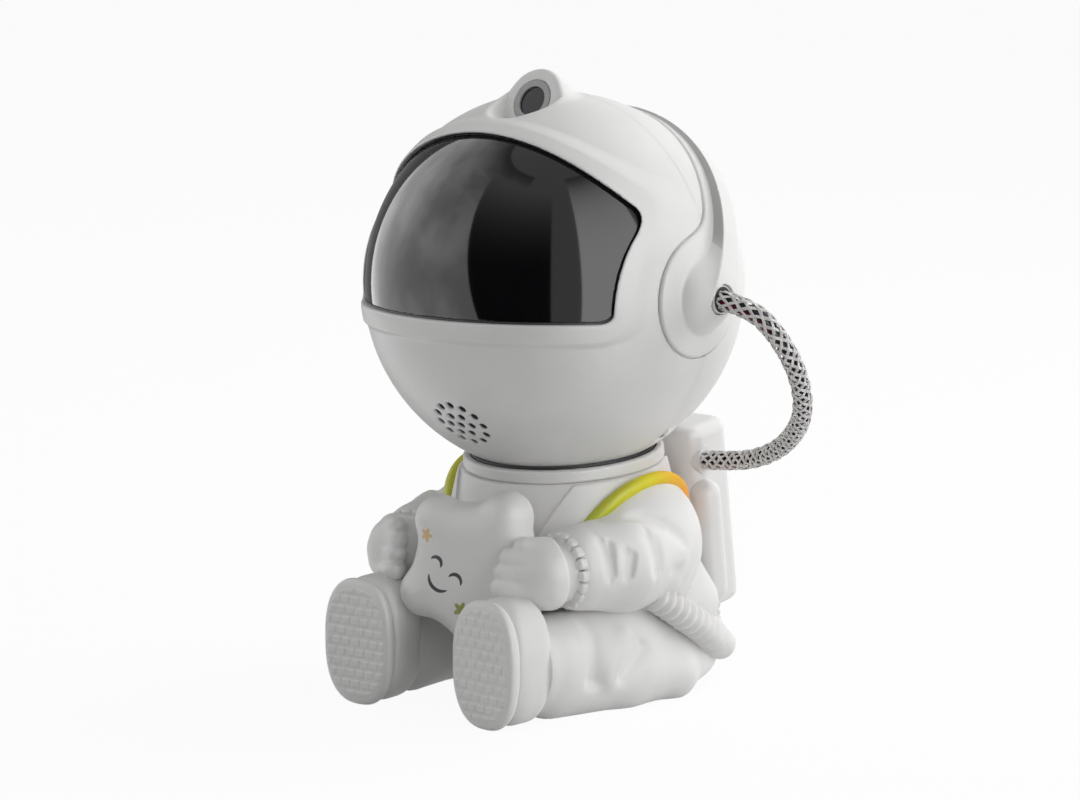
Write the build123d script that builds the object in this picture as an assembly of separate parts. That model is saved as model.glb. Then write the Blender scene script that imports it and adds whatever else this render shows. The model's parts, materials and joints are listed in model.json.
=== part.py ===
from build123d import *
from math import acos, cos, hypot, pi, radians, sin, sqrt, tan
import os

# Seated space traveller that throws a nebula through its visor and stars through its crown lens.
# Millimetres, +Z up. The origin is on the table under the middle of the helmet ball.
# The figure faces -Y and its left hand is at +X.

# Helmet ball, two shells
helmet_radius = 60.0
helmet_wall = 2.5
helmet_split = 4.0
fit_gap = 0.1
moving_gap = 0.3

# Visor window, as angles seen from the middle of the ball
visor_side_angle = 57.32
visor_drop_angle = 5.26
visor_side_rise_angle = 26.74
visor_arch_angle = 55.09
visor_corner = 4.0
visor_wall = 1.8
visor_gap = 0.25
rim_height = 1.0
rim_below = 7.2
rim_beside = 4.5
rim_above = 4.6
rim_corner = 8.0
seal_wall = 1.6
seal_lap_in = 2.0
seal_lap_out = 2.5

# Speaker holes in the chin, and the speaker behind them
vent_latitude = -42.0
vent_radius = 1.25
vent_pitch = 4.2
vent_rings = 2
vent_step = 6
speaker_radius = 12.5
speaker_frame_depth = 6.0
speaker_magnet_radius = 7.0
speaker_magnet_depth = 5.0

# Crown lens in its hood
hood_angle = 10.5
hood_depth = 1.3
hood_tilt = 24.0
hood_radius = 10.5
hood_set_back = 3.0
scoop_reach = 40.0
laser_radius = 5.6
laser_length = 22.0
bezel_radius = 6.8
bezel_bore = 4.8
bezel_depth = 1.6
star_lens_depth = 0.9

# Ears and the band between them
ear_radius = 18.5
ear_dome_radius = 12.0
ear_tip_rise = 6.5
band_lean = 32.0
band_width = 15.0
ridge_width = 8.5
ridge_top_rise = 1.7
ridge_ear_rise = 6.0
ridge_edge = 2.5
flange_rise = 0.6
flange_depth = 0.8
seam_gap = 0.4

# Helmet screws, driven from the back
screw_low_turn = -50.32
screw_low_inset = 2.83
screw_high_turn = 75.69
screw_high_inset = 9.43
screw_radius = 1.2
screw_length = 11.0
screw_head_radius = 2.6
screw_head_height = 1.8
screw_seat = 3.0
recess_radius = 3.6
boss_radius = 4.2
boss_length = 14.0

# Nebula optics, on one tilted axis
optic_tilt = 20.0
plate_radius = 30.0
plate_thickness = 3.0
plate_arm_width = 14.0
lamp_tube_radius = 16.0
lamp_tube_bore = 14.0
lamp_tube_length = 10.0
condenser_radius = 9.0
condenser_thickness = 4.0
condenser_edge = 1.3
condenser_seat = 1.0
led_board_thickness = 1.6
led_radius = 3.5
led_height = 1.8
fin_count = 7
fin_thickness = 1.2
fin_length = 12.0
sink_base = 3.0
barrel_radius = 22.0
barrel_wall = 2.0
barrel_start = 15.0
barrel_end = 36.0
barrel_leg_radius = 2.0
barrel_leg_turns = (200.0, 270.0, 340.0)
projector_lens_edge = 3.0
projector_lens_crown = 6.0
projector_lens_ledge = 1.2

# Nebula wheel and the gear drive
gear_module = 0.8
wheel_teeth = 48
pinion_teeth = 12
gear_backlash = 0.22
gear_addendum = 0.85
gear_dedendum = 1.2
pressure_angle = 20.0
wheel_offset = 10.0
wheel_start = 8.0
wheel_thickness = 2.4
wheel_hub_radius = 4.0
wheel_hub_height = 2.0
axle_radius = 1.5
axle_head_radius = 3.0
axle_head_height = 1.2
wheel_ripple_count = 9
wheel_ripple_radius = 3.4
wheel_ripple_depth = 0.8
motor_radius = 9.0
motor_length = 14.0
shaft_radius = 1.0
shaft_depth = 7.0
shaft_gap = 0.05

# Head circuit board
board_width = 46.0
board_height = 30.0
board_thickness = 1.6
board_y = 34.0
board_drop = 6.0
board_post_radius = 2.4
board_post_inset = 4.0
chip_size = 10.0
chip_height = 1.6
chip_spacing = 14.0
steel_radius = 18.0
steel_thickness = 1.5

# Neck: cup, friction ring, magnet
neck_tilt = 5.0
cup_gap = 1.3
cup_wall = 3.0
collar_radius = 32.0
collar_wall = 2.0
collar_height = 4.2
collar_edge = 1.0
cup_plug_height = 4.0
plug_gap = 0.8
ring_inner = 24.5
ring_outer = 29.5
ring_bed = 1.2
magnet_radius = 10.0
magnet_height = 4.0
magnet_drop = 0.5
magnet_floor = 1.5

# Torso and base
torso_wall = 2.5
torso_neck_height = 70.843
torso_base_radius = 33.0
torso_hip_radius = 37.5
torso_hip_height = 20.0
torso_chest_radius = 36.5
torso_chest_height = 50.0
pad_thickness = 1.2
pad_margin = 1.5
base_thickness = 3.0
base_screw_count = 3
base_screw_circle = 26.0
base_boss_radius = 4.5
base_boss_height = 16.0
base_rib = 2.5
strap_width = 11.0
strap_thickness = 1.2
strap_lean = 23.6
strap_x = 25.5
strap_z = 60.0

# Legs and boots
hip = (22.0, 28.0, 16.4)
knee = (27.8, -8.0, 16.6)
ankle = (27.5, -46.0, 17.5)
hip_radius = 16.1
knee_radius = 16.3
ankle_radius = 13.5
skirt_route = ((30.0, 33.0, 7.5), (41.5, 8.0, 7.6), (37.0, -12.0, 7.6), (29.5, -38.0, 7.4))
skirt_radii = (7.2, 7.4, 7.3, 7.0)
boot_place = (27.0, -45.5, 20.0)
boot_splay = -3.6
boot_length = 15.4
boot_back_edge = 6.0
boot_width = 25.0
boot_height = 38.4
boot_corner = 11.0
sole_width = 26.5
sole_height = 40.0
sole_corner = 12.0
sole_thickness = 4.6
sole_edge = 1.6

# Arms, cuffs and hands
shoulder = (22.7, 6.0, 46.6)
elbow = (36.0, 7.0, 44.0)
wrist = (31.4, -29.6, 45.2)
shoulder_radius = 25.5
elbow_radius = 14.8
wrist_radius = 11.6
trim_radius = 26.0
trim_tube = 2.2
trim_lean = 30.7
trim_floor = 40.0
cuff_radius = 10.2
cuff_tube = 2.3
cuff_gathers = 18
gather_radius = 2.1
palm = (28.6, -40.0, 44.4)
palm_radius = 12.0
finger_root = (27.5, -45.5)
finger_tip = (21.5, -50.5)
finger_radius = 3.3
finger_pitch = 4.7
finger_count = 4

# Toy star in the lap
star_place = (6.3, -44.0, 44.15)
star_corner_radius = 37.0
star_notch_radius = 18.9
star_tip_round = 8.0
star_notch_round = 14.0
star_thickness = 18.0
star_edge = 7.5
star_roll = -29.0
star_turn = 15.7
star_lean = 5.0
star_points = 5

# Back pack
pack_y = 50.5
pack_z = 50.0
pack_lean = 8.0
pack_width = 54.0
pack_depth = 21.0
pack_height = 62.0
pack_corner = 6.0
pack_edge = 4.0
pack_wall = 2.2
cover_thickness = 2.2
cover_screw_inset = 7.0
cover_screw_length = 8.0
cover_boss_radius = 3.4
tank_radius = 5.0
tank_length = 41.0
tank_top = 13.6
tank_set_back = 5.9
button_radius = 4.0
button_spacing = 13.0
button_z = 10.0
button_rise = 1.2
button_travel = 0.8
button_flange = 1.2
button_flange_thickness = 1.0
switch_size = 6.0
switch_height = 1.9
pack_board_width = 32.0
pack_board_top = 18.0
pack_board_thickness = 1.6
pack_post_radius = 2.2
pack_post_inset = 4.5
pack_post_drop = 12.0
socket_width = 9.0
socket_height = 3.3
socket_depth = 7.5
socket_wall = 0.35

# Braided cable from pack to left ear, and its rubber bushes
cable_diameter = 6.5
bush_radius = 4.4
ear_bush_length = 8.0
pack_bush_length = 6.0
pack_bush_rise = 0.6
cable_tuck = 1.0
cable_route = [
    (76.8, 1.2, 126.6),
    (82.6, 5.8, 119.0),
    (83.8, 13.4, 109.0),
    (82.0, 20.5, 99.5),
    (77.5, 27.0, 90.5),
    (70.0, 32.5, 83.0),
    (61.0, 37.0, 77.0),
    (50.5, 40.5, 72.5),
    (39.5, 42.5, 70.0),
]
pack_exit_y = 43.0
pack_exit_z = 69.0

# Ribbed hose round the left hip
hose_radius = 5.0
hose_valley = 4.2
hose_bore = 3.0
hose_pitch = 3.6
hose_plain_end = 3.0
rib_slope = 1.1
rib_crest = 1.1
hose_bed = 0.25
corner_share = 0.45
hose_route = [
    (40.5, -3.0, 34.5),
    (42.0, 14.0, 27.0),
    (38.5, 31.0, 16.5),
    (31.0, 42.5, 12.0),
    (22.0, 50.0, 13.0),
    (19.0, 54.5, 20.5),
]

far = 4 * helmet_radius
parts = {}


# Places that several pieces share
def looking(origin, direction, x_dir=(1, 0, 0)):
    return Plane(origin=origin, x_dir=x_dir, z_dir=direction).location


cup_radius = helmet_radius + cup_gap
collar_bore = collar_radius - collar_wall
collar_top = -sqrt(cup_radius**2 - collar_bore**2)
collar_foot = collar_top - collar_height
helmet_height = torso_neck_height - collar_foot
centre = Vector(0, 0, helmet_height)
ball_at = Pos(0, 0, helmet_height)
front_at = looking(centre, (0, -1, 0))
left_at = looking(centre, (1, 0, 0), (0, 1, 0))
neck_dir = Vector(0, -sin(radians(neck_tilt)), cos(radians(neck_tilt)))
neck_at = looking(centre, neck_dir)
vent_dir = Vector(0, -cos(radians(vent_latitude)), sin(radians(vent_latitude)))
vent_at = looking(centre, vent_dir)
optic_at = looking(centre, (0, -cos(radians(optic_tilt)), sin(radians(optic_tilt))))
lens_reach = helmet_radius - hood_depth
lens_point = centre + Vector(0, -sin(radians(hood_angle)), cos(radians(hood_angle))) * lens_reach
hood_at = looking(lens_point, (0, -cos(radians(hood_tilt)), sin(radians(hood_tilt))))
pack_at = looking((0, pack_y, pack_z), (0, -sin(radians(pack_lean)), cos(radians(pack_lean))))
inner_radius = helmet_radius - helmet_wall
speaker_front = sqrt(inner_radius**2 - speaker_radius**2) - fit_gap
laser_foot = -bezel_depth - laser_length


def ball(radius):
    return ball_at * Sphere(radius)


def skin(outer, inner):
    return ball(outer) - ball(inner)


def rod(frame, radius, start, end):
    return frame * Pos(0, 0, (start + end) / 2) * Cylinder(radius, end - start)


def tube(frame, outer, inner, start, end):
    return rod(frame, outer, start, end) - rod(frame, inner, start, end)


def block(frame, low, high):
    size = [b - a for a, b in zip(low, high)]
    middle = [(a + b) / 2 for a, b in zip(low, high)]
    return frame * Pos(*middle) * Box(*size)


def between(start, end, start_radius, end_radius):
    way = Vector(*end) - Vector(*start)
    at = Plane(origin=start, z_dir=way).location * Pos(0, 0, way.length / 2)
    return at * Cone(start_radius, end_radius, way.length)


def mirrored(solid):
    return mirror(solid, about=Plane.YZ)


def window(half_width, bottom, side_top, arch_top, corner):
    sides = Polyline(
        (-half_width, side_top), (-half_width, bottom), (half_width, bottom), (half_width, side_top)
    )
    arch = ThreePointArc((half_width, side_top), (0, arch_top), (-half_width, side_top))
    face = make_face([sides, arch])
    return fillet(face.vertices(), corner)


def forward(face):
    return extrude(front_at * face, amount=far, dir=(0, -1, 0))


visor_half_width = helmet_radius * sin(radians(visor_side_angle))
visor_drop = helmet_radius * sin(radians(visor_drop_angle))
visor_side_rise = helmet_radius * sin(radians(visor_side_rise_angle))
visor_arch_rise = helmet_radius * sin(radians(visor_arch_angle))
visor_face = window(visor_half_width, -visor_drop, visor_side_rise, visor_arch_rise, visor_corner)
rim_face = window(
    visor_half_width + rim_beside,
    -visor_drop - rim_below,
    visor_side_rise + rim_beside / 2,
    visor_arch_rise + rim_above,
    rim_corner,
)
front_half = block(Location(), (-far, -far, -far), (far, helmet_split, far))
rear_half = block(Location(), (-far, helmet_split, -far), (far, far, far))
screw_places = []
for turn, inset in ((screw_low_turn, screw_low_inset), (screw_high_turn, screw_high_inset)):
    reach = helmet_radius - inset
    for side in (-1, 1):
        screw_places.append((side * reach * cos(radians(turn)), reach * sin(radians(turn))))


def along_y(x, z, radius, start, end):
    frame = looking((x, 0, helmet_height + z), (0, 1, 0))
    return rod(frame, radius, start, end)


# Band from ear to ear
band_at = Plane(origin=centre, x_dir=(1, 0, 0), z_dir=(0, cos(radians(band_lean)), -sin(radians(band_lean))))
band_at = band_at.location
ridge_top = helmet_radius + ridge_top_rise
ridge_ear = helmet_radius + ridge_ear_rise
ridge_shift = (ridge_top**2 - ridge_ear**2) / (2 * ridge_top)
ridge_radius = ridge_top - ridge_shift
ear_tip = helmet_radius + ear_tip_rise
dome_foot = sqrt(helmet_radius**2 - ear_dome_radius**2)
dome_centre = (ear_tip**2 - dome_foot**2 - ear_dome_radius**2) / (2 * (ear_tip - dome_foot))
dome_radius = ear_tip - dome_centre


def band_outline(grow):
    half = band_width / 2 + grow
    strip = block(band_at, (-far, -far, -half), (far, 0, half))
    ears = rod(left_at, ear_radius + grow, -far, far)
    return strip + ears


band_bed = helmet_radius - flange_depth
band_pocket = band_outline(seam_gap) - ball(band_bed)
ear_hole = rod(left_at, bush_radius + moving_gap, 0, far)


def ear_band():
    flange = band_outline(0) & skin(helmet_radius + flange_rise, band_bed)
    disc = Cylinder(ridge_radius, ridge_width)
    disc = fillet(disc.edges().filter_by(GeomType.CIRCLE), ridge_edge)
    upper = block(band_at, (-far, -far, -far), (far, 0, far))
    ridge = (band_at * Pos(0, -ridge_shift, 0) * disc) & upper
    domes = left_at * Pos(0, 0, dome_centre) * Sphere(dome_radius)
    domes += mirrored(domes)
    raised = ridge + domes - ball(band_bed)
    return flange + raised - ear_hole


# Helmet shells
def crown_hood():
    hood = hood_at * Pos(0, 0, -hood_set_back) * Sphere(hood_radius)
    socket = rod(hood_at, hood_radius + helmet_wall, -hood_radius, far) & ball(helmet_radius)
    return hood, socket


def vents():
    holes = [rod(vent_at, vent_radius, speaker_front, far)]
    for ring in range(1, vent_rings + 1):
        for i in range(vent_step * ring):
            place = vent_at * Rot(0, 0, 360 * i / (vent_step * ring)) * Pos(ring * vent_pitch, 0, 0)
            holes.append(rod(place, vent_radius, speaker_front, far))
    return holes


def helmet_front():
    rim = skin(helmet_radius + rim_height, inner_radius) & forward(rim_face)
    hood, socket = crown_hood()
    shell = skin(helmet_radius, inner_radius) + rim + (hood - ball(inner_radius)) + socket
    for x, z in screw_places:
        shell += along_y(x, z, boss_radius, helmet_split - boss_length, helmet_split) & ball(helmet_radius)
    shell &= front_half
    shell -= rod(hood_at, hood_radius, 0, scoop_reach)
    shell -= rod(hood_at, bezel_radius + fit_gap, -bezel_depth, scoop_reach)
    shell -= rod(hood_at, laser_radius + fit_gap, laser_foot, scoop_reach)
    shell -= forward(visor_face)
    shell -= band_pocket
    shell -= ear_hole
    shell -= vents()
    for x, z in screw_places:
        shell -= along_y(x, z, screw_radius + fit_gap / 2, helmet_split - screw_length, helmet_split)
    return shell


def board_posts():
    x = board_width / 2 - board_post_inset
    z = board_height / 2 - board_post_inset
    return [(sx * x, sz * z - board_drop) for sx in (-1, 1) for sz in (-1, 1)]


def helmet_rear():
    shell = skin(helmet_radius, inner_radius)
    seat_radius = recess_radius + helmet_wall / 2
    for x, z in screw_places:
        shell += along_y(x, z, seat_radius, helmet_split, far) & ball(helmet_radius)
    for x, z in board_posts():
        shell += along_y(x, z, board_post_radius, board_y + board_thickness, far) & ball(helmet_radius)
    shell &= rear_half
    for x, z in screw_places:
        shell -= along_y(x, z, recess_radius, helmet_split + screw_seat, far)
        shell -= along_y(x, z, screw_radius + fit_gap, helmet_split, far)
    shell -= band_pocket
    shell -= ear_hole
    return shell


def helmet_screws():
    screws = []
    for x, z in screw_places:
        seat = helmet_split + screw_seat
        shank = along_y(x, z, screw_radius, seat - screw_length, seat)
        head = along_y(x, z, screw_head_radius, seat, seat + screw_head_height)
        screws.append(shank + head)
    return Compound(children=screws)


visor_radius = inner_radius + visor_wall
visor_plate = skin(visor_radius, inner_radius) & forward(offset(visor_face, -visor_gap))
seal_band = forward(offset(visor_face, seal_lap_out)) - forward(offset(visor_face, -seal_lap_in))
visor_seal = (skin(inner_radius, inner_radius - seal_wall) & seal_band) - crown_hood()[1]

parts["helmet_front_shell"] = helmet_front()
parts["helmet_rear_shell"] = helmet_rear()
parts["helmet_screws"] = helmet_screws()
parts["visor"] = visor_plate
parts["visor_seal"] = visor_seal
parts["ear_band"] = ear_band()

# Crown lens: ring, star lens and the laser barrel behind them
parts["lens_bezel"] = tube(hood_at, bezel_radius, bezel_bore, -bezel_depth, 0)
parts["star_lens"] = rod(hood_at, bezel_bore - fit_gap, -bezel_depth, -bezel_depth + star_lens_depth)
parts["laser_module"] = rod(hood_at, laser_radius, laser_foot, -bezel_depth)


# Speaker behind the chin holes
def speaker():
    back = speaker_front - speaker_frame_depth
    basket = rod(vent_at, speaker_radius, back, speaker_front)
    return basket + rod(vent_at, speaker_magnet_radius, back - speaker_magnet_depth, back)


parts["speaker"] = speaker()


# Nebula optics, in the tilted frame of the optical axis
def gear_face(teeth):
    pitch = gear_module * teeth / 2
    base = pitch * cos(radians(pressure_angle))
    tip = pitch + gear_addendum * gear_module
    root = pitch - gear_dedendum * gear_module
    half_pitch = (pi * gear_module / 2 - gear_backlash) / 2 / pitch

    def involute(radius):
        slope = acos(min(1, base / radius))
        return tan(slope) - slope

    flank = [max(base, root), pitch, tip]
    half = [half_pitch + involute(pitch) - involute(radius) for radius in flank]
    side = [(root, half[0])] + list(zip(flank, half)) if root < base else list(zip(flank, half))
    tooth = [(radius, -turn) for radius, turn in side] + [(radius, turn) for radius, turn in reversed(side)]
    points = []
    for i in range(teeth):
        for radius, turn in tooth:
            angle = 2 * pi * i / teeth + turn
            points.append((radius * cos(angle), radius * sin(angle)))
    return make_face(Polyline(*points, close=True))


wheel_at = optic_at * Pos(0, wheel_offset, 0)
gear_distance = gear_module * (wheel_teeth + pinion_teeth) / 2
pinion_at = optic_at * Pos(-gear_distance, wheel_offset, 0)
wheel_end = wheel_start + wheel_thickness
axle_end = wheel_end + wheel_hub_height + moving_gap
lamp_floor = -lamp_tube_length
barrel_bore = barrel_radius - barrel_wall


def barrel_leg_at(turn):
    reach = barrel_radius - barrel_leg_radius
    return optic_at * Pos(reach * cos(radians(turn)), reach * sin(radians(turn)), 0)


def optics_plate():
    plate = rod(optic_at, plate_radius, 0, plate_thickness)
    reach = sqrt(inner_radius**2 - (plate_arm_width / 2) ** 2 - plate_thickness**2) - fit_gap
    half = plate_arm_width / 2
    plate += block(optic_at, (-reach, -half, 0), (reach, half, plate_thickness))
    plate += tube(optic_at, lamp_tube_radius, lamp_tube_bore, lamp_floor, 0)
    plate += rod(wheel_at, wheel_hub_radius, plate_thickness, wheel_start - moving_gap)
    plate -= rod(optic_at, condenser_radius - condenser_seat, 0, plate_thickness)
    plate -= rod(wheel_at, axle_radius + shaft_gap, 0, wheel_start)
    plate -= rod(pinion_at, shaft_radius + moving_gap, 0, plate_thickness)
    return plate


def nebula_wheel():
    gear = extrude(gear_face(wheel_teeth), amount=wheel_thickness)
    wheel = wheel_at * Pos(0, 0, wheel_start) * gear
    wheel += rod(wheel_at, wheel_hub_radius, wheel_end, wheel_end + wheel_hub_height)
    rim = gear_module * wheel_teeth / 2 - gear_dedendum * gear_module
    middle = (rim + wheel_hub_radius) / 2
    for i in range(wheel_ripple_count):
        turn = 360 * i / wheel_ripple_count
        spot = wheel_at * Rot(0, 0, turn) * Pos(middle, 0, 0)
        wheel -= rod(spot, wheel_ripple_radius, wheel_end - wheel_ripple_depth, wheel_end)
    return wheel - rod(wheel_at, axle_radius + shaft_gap, 0, far)


def motor_pinion():
    gear = extrude(gear_face(pinion_teeth), amount=wheel_thickness)
    mesh_turn = 180 / pinion_teeth
    pinion = pinion_at * Pos(0, 0, wheel_start) * Rot(0, 0, mesh_turn) * gear
    return pinion + rod(pinion_at, shaft_radius, -shaft_depth, wheel_start)


def condenser():
    body = rod(optic_at, condenser_radius, -condenser_thickness, 0)
    return fillet(body.edges().filter_by(GeomType.CIRCLE).sort_by_distance(centre)[-1], condenser_edge)


def heat_sink():
    top = lamp_floor - led_board_thickness
    sink = rod(optic_at, lamp_tube_radius, top - sink_base, top)
    gap = (2 * lamp_tube_radius - fin_thickness) / (fin_count - 1)
    room = rod(optic_at, lamp_tube_radius, top - sink_base - fin_length, top - sink_base)
    for i in range(fin_count):
        x = -lamp_tube_radius + fin_thickness / 2 + i * gap
        low = (x - fin_thickness / 2, -lamp_tube_radius, top - sink_base - fin_length)
        high = (x + fin_thickness / 2, lamp_tube_radius, top - sink_base)
        sink += block(optic_at, low, high) & room
    return sink


def led_board():
    board = rod(optic_at, lamp_tube_radius, lamp_floor - led_board_thickness, lamp_floor)
    return board + rod(optic_at, led_radius, lamp_floor, lamp_floor + led_height)


def lens_barrel():
    barrel = tube(optic_at, barrel_radius, barrel_bore, barrel_start, barrel_end)
    ledge = barrel_bore - projector_lens_ledge
    barrel += tube(optic_at, barrel_bore, ledge, barrel_start, barrel_start + projector_lens_ledge)
    for turn in barrel_leg_turns:
        barrel += rod(barrel_leg_at(turn), barrel_leg_radius, plate_thickness, barrel_start)
    return barrel


def projector_lens():
    radius = barrel_bore - fit_gap
    start = barrel_start + projector_lens_ledge
    edge = rod(optic_at, radius, start, start + projector_lens_edge)
    curve = (radius**2 + projector_lens_crown**2) / (2 * projector_lens_crown)
    top = start + projector_lens_edge + projector_lens_crown
    dome = (optic_at * Pos(0, 0, top - curve) * Sphere(curve)) & rod(optic_at, radius, start, far)
    return edge + dome


parts["optics_plate"] = optics_plate()
parts["condenser_lens"] = condenser()
parts["led_board"] = led_board()
parts["led_heat_sink"] = heat_sink()
parts["lens_barrel"] = lens_barrel()
parts["projector_lens"] = projector_lens()
parts["nebula_wheel"] = nebula_wheel()
axle = rod(wheel_at, axle_radius, 0, axle_end)
parts["wheel_axle"] = axle + rod(wheel_at, axle_head_radius, axle_end, axle_end + axle_head_height)
parts["drive_motor"] = rod(pinion_at, motor_radius, -motor_length, 0) - rod(
    pinion_at, shaft_radius + shaft_gap, -shaft_depth, 0
)
parts["motor_pinion"] = motor_pinion()


# Head circuit board on the rear shell's posts, and the steel plate that the neck magnet pulls
def head_board():
    low_z = helmet_height - board_drop - board_height / 2
    low = (-board_width / 2, board_y, low_z)
    high = (board_width / 2, board_y + board_thickness, low_z + board_height)
    board = block(Location(), low, high)
    middle = helmet_height - board_drop
    for x in (-chip_spacing / 2, chip_spacing / 2):
        low = (x - chip_size / 2, board_y - chip_height, middle - chip_size / 2)
        high = (x + chip_size / 2, board_y, middle + chip_size / 2)
        board += block(Location(), low, high)
    return board


parts["head_circuit_board"] = head_board()
parts["head_steel_plate"] = skin(inner_radius, inner_radius - steel_thickness) & rod(
    neck_at, steel_radius, -far, 0
)


# Neck cup with its collar, friction ring and magnet
plug_radius = collar_radius - torso_wall - plug_gap
magnet_top = -cup_radius - magnet_drop
magnet_foot = magnet_top - magnet_height


def neck_cup():
    collar = rod(neck_at, collar_radius, collar_foot, collar_top)
    collar = fillet(collar.edges().filter_by(GeomType.CIRCLE), collar_edge)
    plug = rod(neck_at, plug_radius, collar_foot - cup_plug_height, collar_foot)
    dish = ball(cup_radius + cup_wall) & rod(neck_at, plug_radius, -far, collar_foot)
    boss = rod(neck_at, magnet_radius + cup_wall, magnet_foot - magnet_floor, collar_foot)
    cup = collar + plug + dish + boss
    cup -= ball(cup_radius)
    groove = tube(neck_at, ring_outer + moving_gap, ring_inner - moving_gap, -far, 0)
    cup -= groove & ball(cup_radius + ring_bed)
    return cup - rod(neck_at, magnet_radius + fit_gap, magnet_foot, 0)


def friction_ring():
    ring = tube(neck_at, ring_outer, ring_inner, -far, 0)
    return ring & skin(cup_radius + ring_bed - moving_gap, helmet_radius + moving_gap)


parts["neck_cup"] = neck_cup()
parts["neck_friction_ring"] = friction_ring()
parts["neck_magnet"] = rod(neck_at, magnet_radius, magnet_foot, magnet_top)

# Torso, a shell turned about a line under the collar's middle
torso_y = -collar_foot * sin(radians(neck_tilt))
torso_at = Pos(0, torso_y, 0)


def turned_torso(grow):
    base = (torso_base_radius + grow, 0, pad_thickness)
    hip_ring = (torso_hip_radius + grow, 0, torso_hip_height)
    chest = (torso_chest_radius + grow, 0, torso_chest_height)
    neck = (collar_radius + grow, 0, torso_neck_height)
    outline = [
        Polyline((0, 0, 0), (base[0], 0, 0), base),
        Spline(base, hip_ring, chest, neck),
        Polyline(neck, (neck[0], 0, helmet_height), (0, 0, helmet_height), (0, 0, 0)),
    ]
    return torso_at * revolve(make_face(outline), Axis.Z)


torso_space = turned_torso(0)
above_collar = rod(neck_at, far, collar_foot, far)
below_pad = rod(torso_at, far, -far, pad_thickness)
torso_solid = torso_space - above_collar - below_pad
base_screw_turns = [90 + 360 * i / base_screw_count for i in range(base_screw_count)]
base_top = pad_thickness + base_thickness
base_radius = torso_base_radius - torso_wall - fit_gap
pack_half_depth = pack_depth / 2
cover_face = pack_half_depth - cover_thickness


def pack_solid():
    outline = RectangleRounded(pack_width, pack_depth, pack_corner)
    body = extrude(outline, amount=pack_height / 2, both=True)
    ends = body.faces().sort_by(Axis.Z)
    body = fillet(ends[0].edges() + ends[-1].edges(), pack_edge)
    return pack_at * body


def rounded_path(points):
    points = [Vector(*p) for p in points]
    radii = []
    for before, here, after in zip(points, points[1:], points[2:]):
        turn = (here - before).get_angle(after - here)
        shorter = min((here - before).length, (after - here).length)
        radii.append(corner_share * shorter / tan(radians(turn / 2)))
    return FilletPolyline(*points, radius=radii), radii


def swept(path, radius):
    return sweep(Plane(path @ 0, z_dir=path % 0) * Circle(radius), path)


hose_line, hose_radii = rounded_path(hose_route)
hose_space = swept(hose_line, hose_radius + hose_bed)
pack_body = pack_solid()


def torso_shell():
    shell = torso_solid - turned_torso(-torso_wall)
    for turn in base_screw_turns:
        place = torso_at * Rot(0, 0, turn) * Pos(base_screw_circle, 0, 0)
        boss = rod(place, base_boss_radius, base_top, base_boss_height)
        rib = block(place, (0, -base_rib / 2, base_top), (torso_hip_radius, base_rib / 2, base_boss_height))
        shell += (boss + rib) & torso_solid
        shell -= rod(place, screw_radius + fit_gap / 2, base_top, base_top + screw_length)
    shell -= rod(torso_at, base_radius + fit_gap, 0, base_top)
    return shell - hose_space


def base_cover():
    cover = rod(torso_at, base_radius, pad_thickness, base_top)
    for turn in base_screw_turns:
        place = torso_at * Rot(0, 0, turn) * Pos(base_screw_circle, 0, 0)
        cover -= rod(place, screw_radius + fit_gap, 0, base_top)
        cover -= rod(place, screw_head_radius + fit_gap, 0, pad_thickness + screw_head_height)
    return cover


def base_screws():
    screws = []
    for turn in base_screw_turns:
        place = torso_at * Rot(0, 0, turn) * Pos(base_screw_circle, 0, 0)
        head_top = pad_thickness + screw_head_height
        head = rod(place, screw_head_radius, pad_thickness, head_top)
        screws.append(head + rod(place, screw_radius, head_top, head_top + screw_length - base_thickness))
    return Compound(children=screws)


parts["torso_shell"] = torso_shell()
parts["base_cover"] = base_cover()
parts["base_screws"] = base_screws()
parts["base_pad"] = rod(torso_at, base_radius - pad_margin, 0, pad_thickness)

# Toy star: rounded outline, rolled and turned a little, puffed by its edge fillets
turn_sin, turn_cos = sin(radians(star_turn)), cos(radians(star_turn))
lean_sin, lean_cos = sin(radians(star_lean)), cos(radians(star_lean))
star_front = (turn_sin * lean_cos, -turn_cos * lean_cos, lean_sin)
star_at = looking(star_place, star_front, (turn_cos, turn_sin, 0))


def toy_star():
    corners = []
    for i in range(2 * star_points):
        reach = star_notch_radius if i % 2 else star_corner_radius
        turn = radians(90 + star_roll + 180 * i / star_points)
        corners.append((reach * cos(turn), reach * sin(turn)))
    face = make_face(Polyline(*corners, close=True))
    middle = (star_notch_radius + star_corner_radius) / 2
    face = fillet([v for v in face.vertices() if hypot(v.X, v.Y) < middle], star_notch_round)
    face = fillet([v for v in face.vertices() if hypot(v.X, v.Y) > middle], star_tip_round)
    body = extrude(face, amount=star_thickness / 2, both=True)
    ends = body.faces().sort_by(Axis.Z)
    return star_at * fillet(ends[0].edges() + ends[-1].edges(), star_edge)


star_body = toy_star() - torso_space
parts["toy_star"] = star_body


# Limbs are chains of balls and cones, cut where a larger piece already is
def limb(points, radii):
    body = Pos(*points[0]) * Sphere(radii[0])
    for i in range(len(points) - 1):
        body += between(points[i], points[i + 1], radii[i], radii[i + 1])
        if i + 2 < len(points):
            body += Pos(*points[i + 1]) * Sphere(radii[i + 1])
    return body


leg_body = limb((hip, knee, ankle), (hip_radius, knee_radius, ankle_radius))
leg_body += limb(skirt_route, skirt_radii)
leg_cut = leg_body - torso_space
parts["left_leg"] = leg_cut - star_body - hose_space - pack_body
parts["right_leg"] = mirrored(leg_cut) - star_body - pack_body

# Boots and soles
boot_dir = Vector(sin(radians(boot_splay)), -cos(radians(boot_splay)), 0)
boot_at = looking(boot_place, boot_dir, (cos(radians(boot_splay)), sin(radians(boot_splay)), 0))


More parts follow.
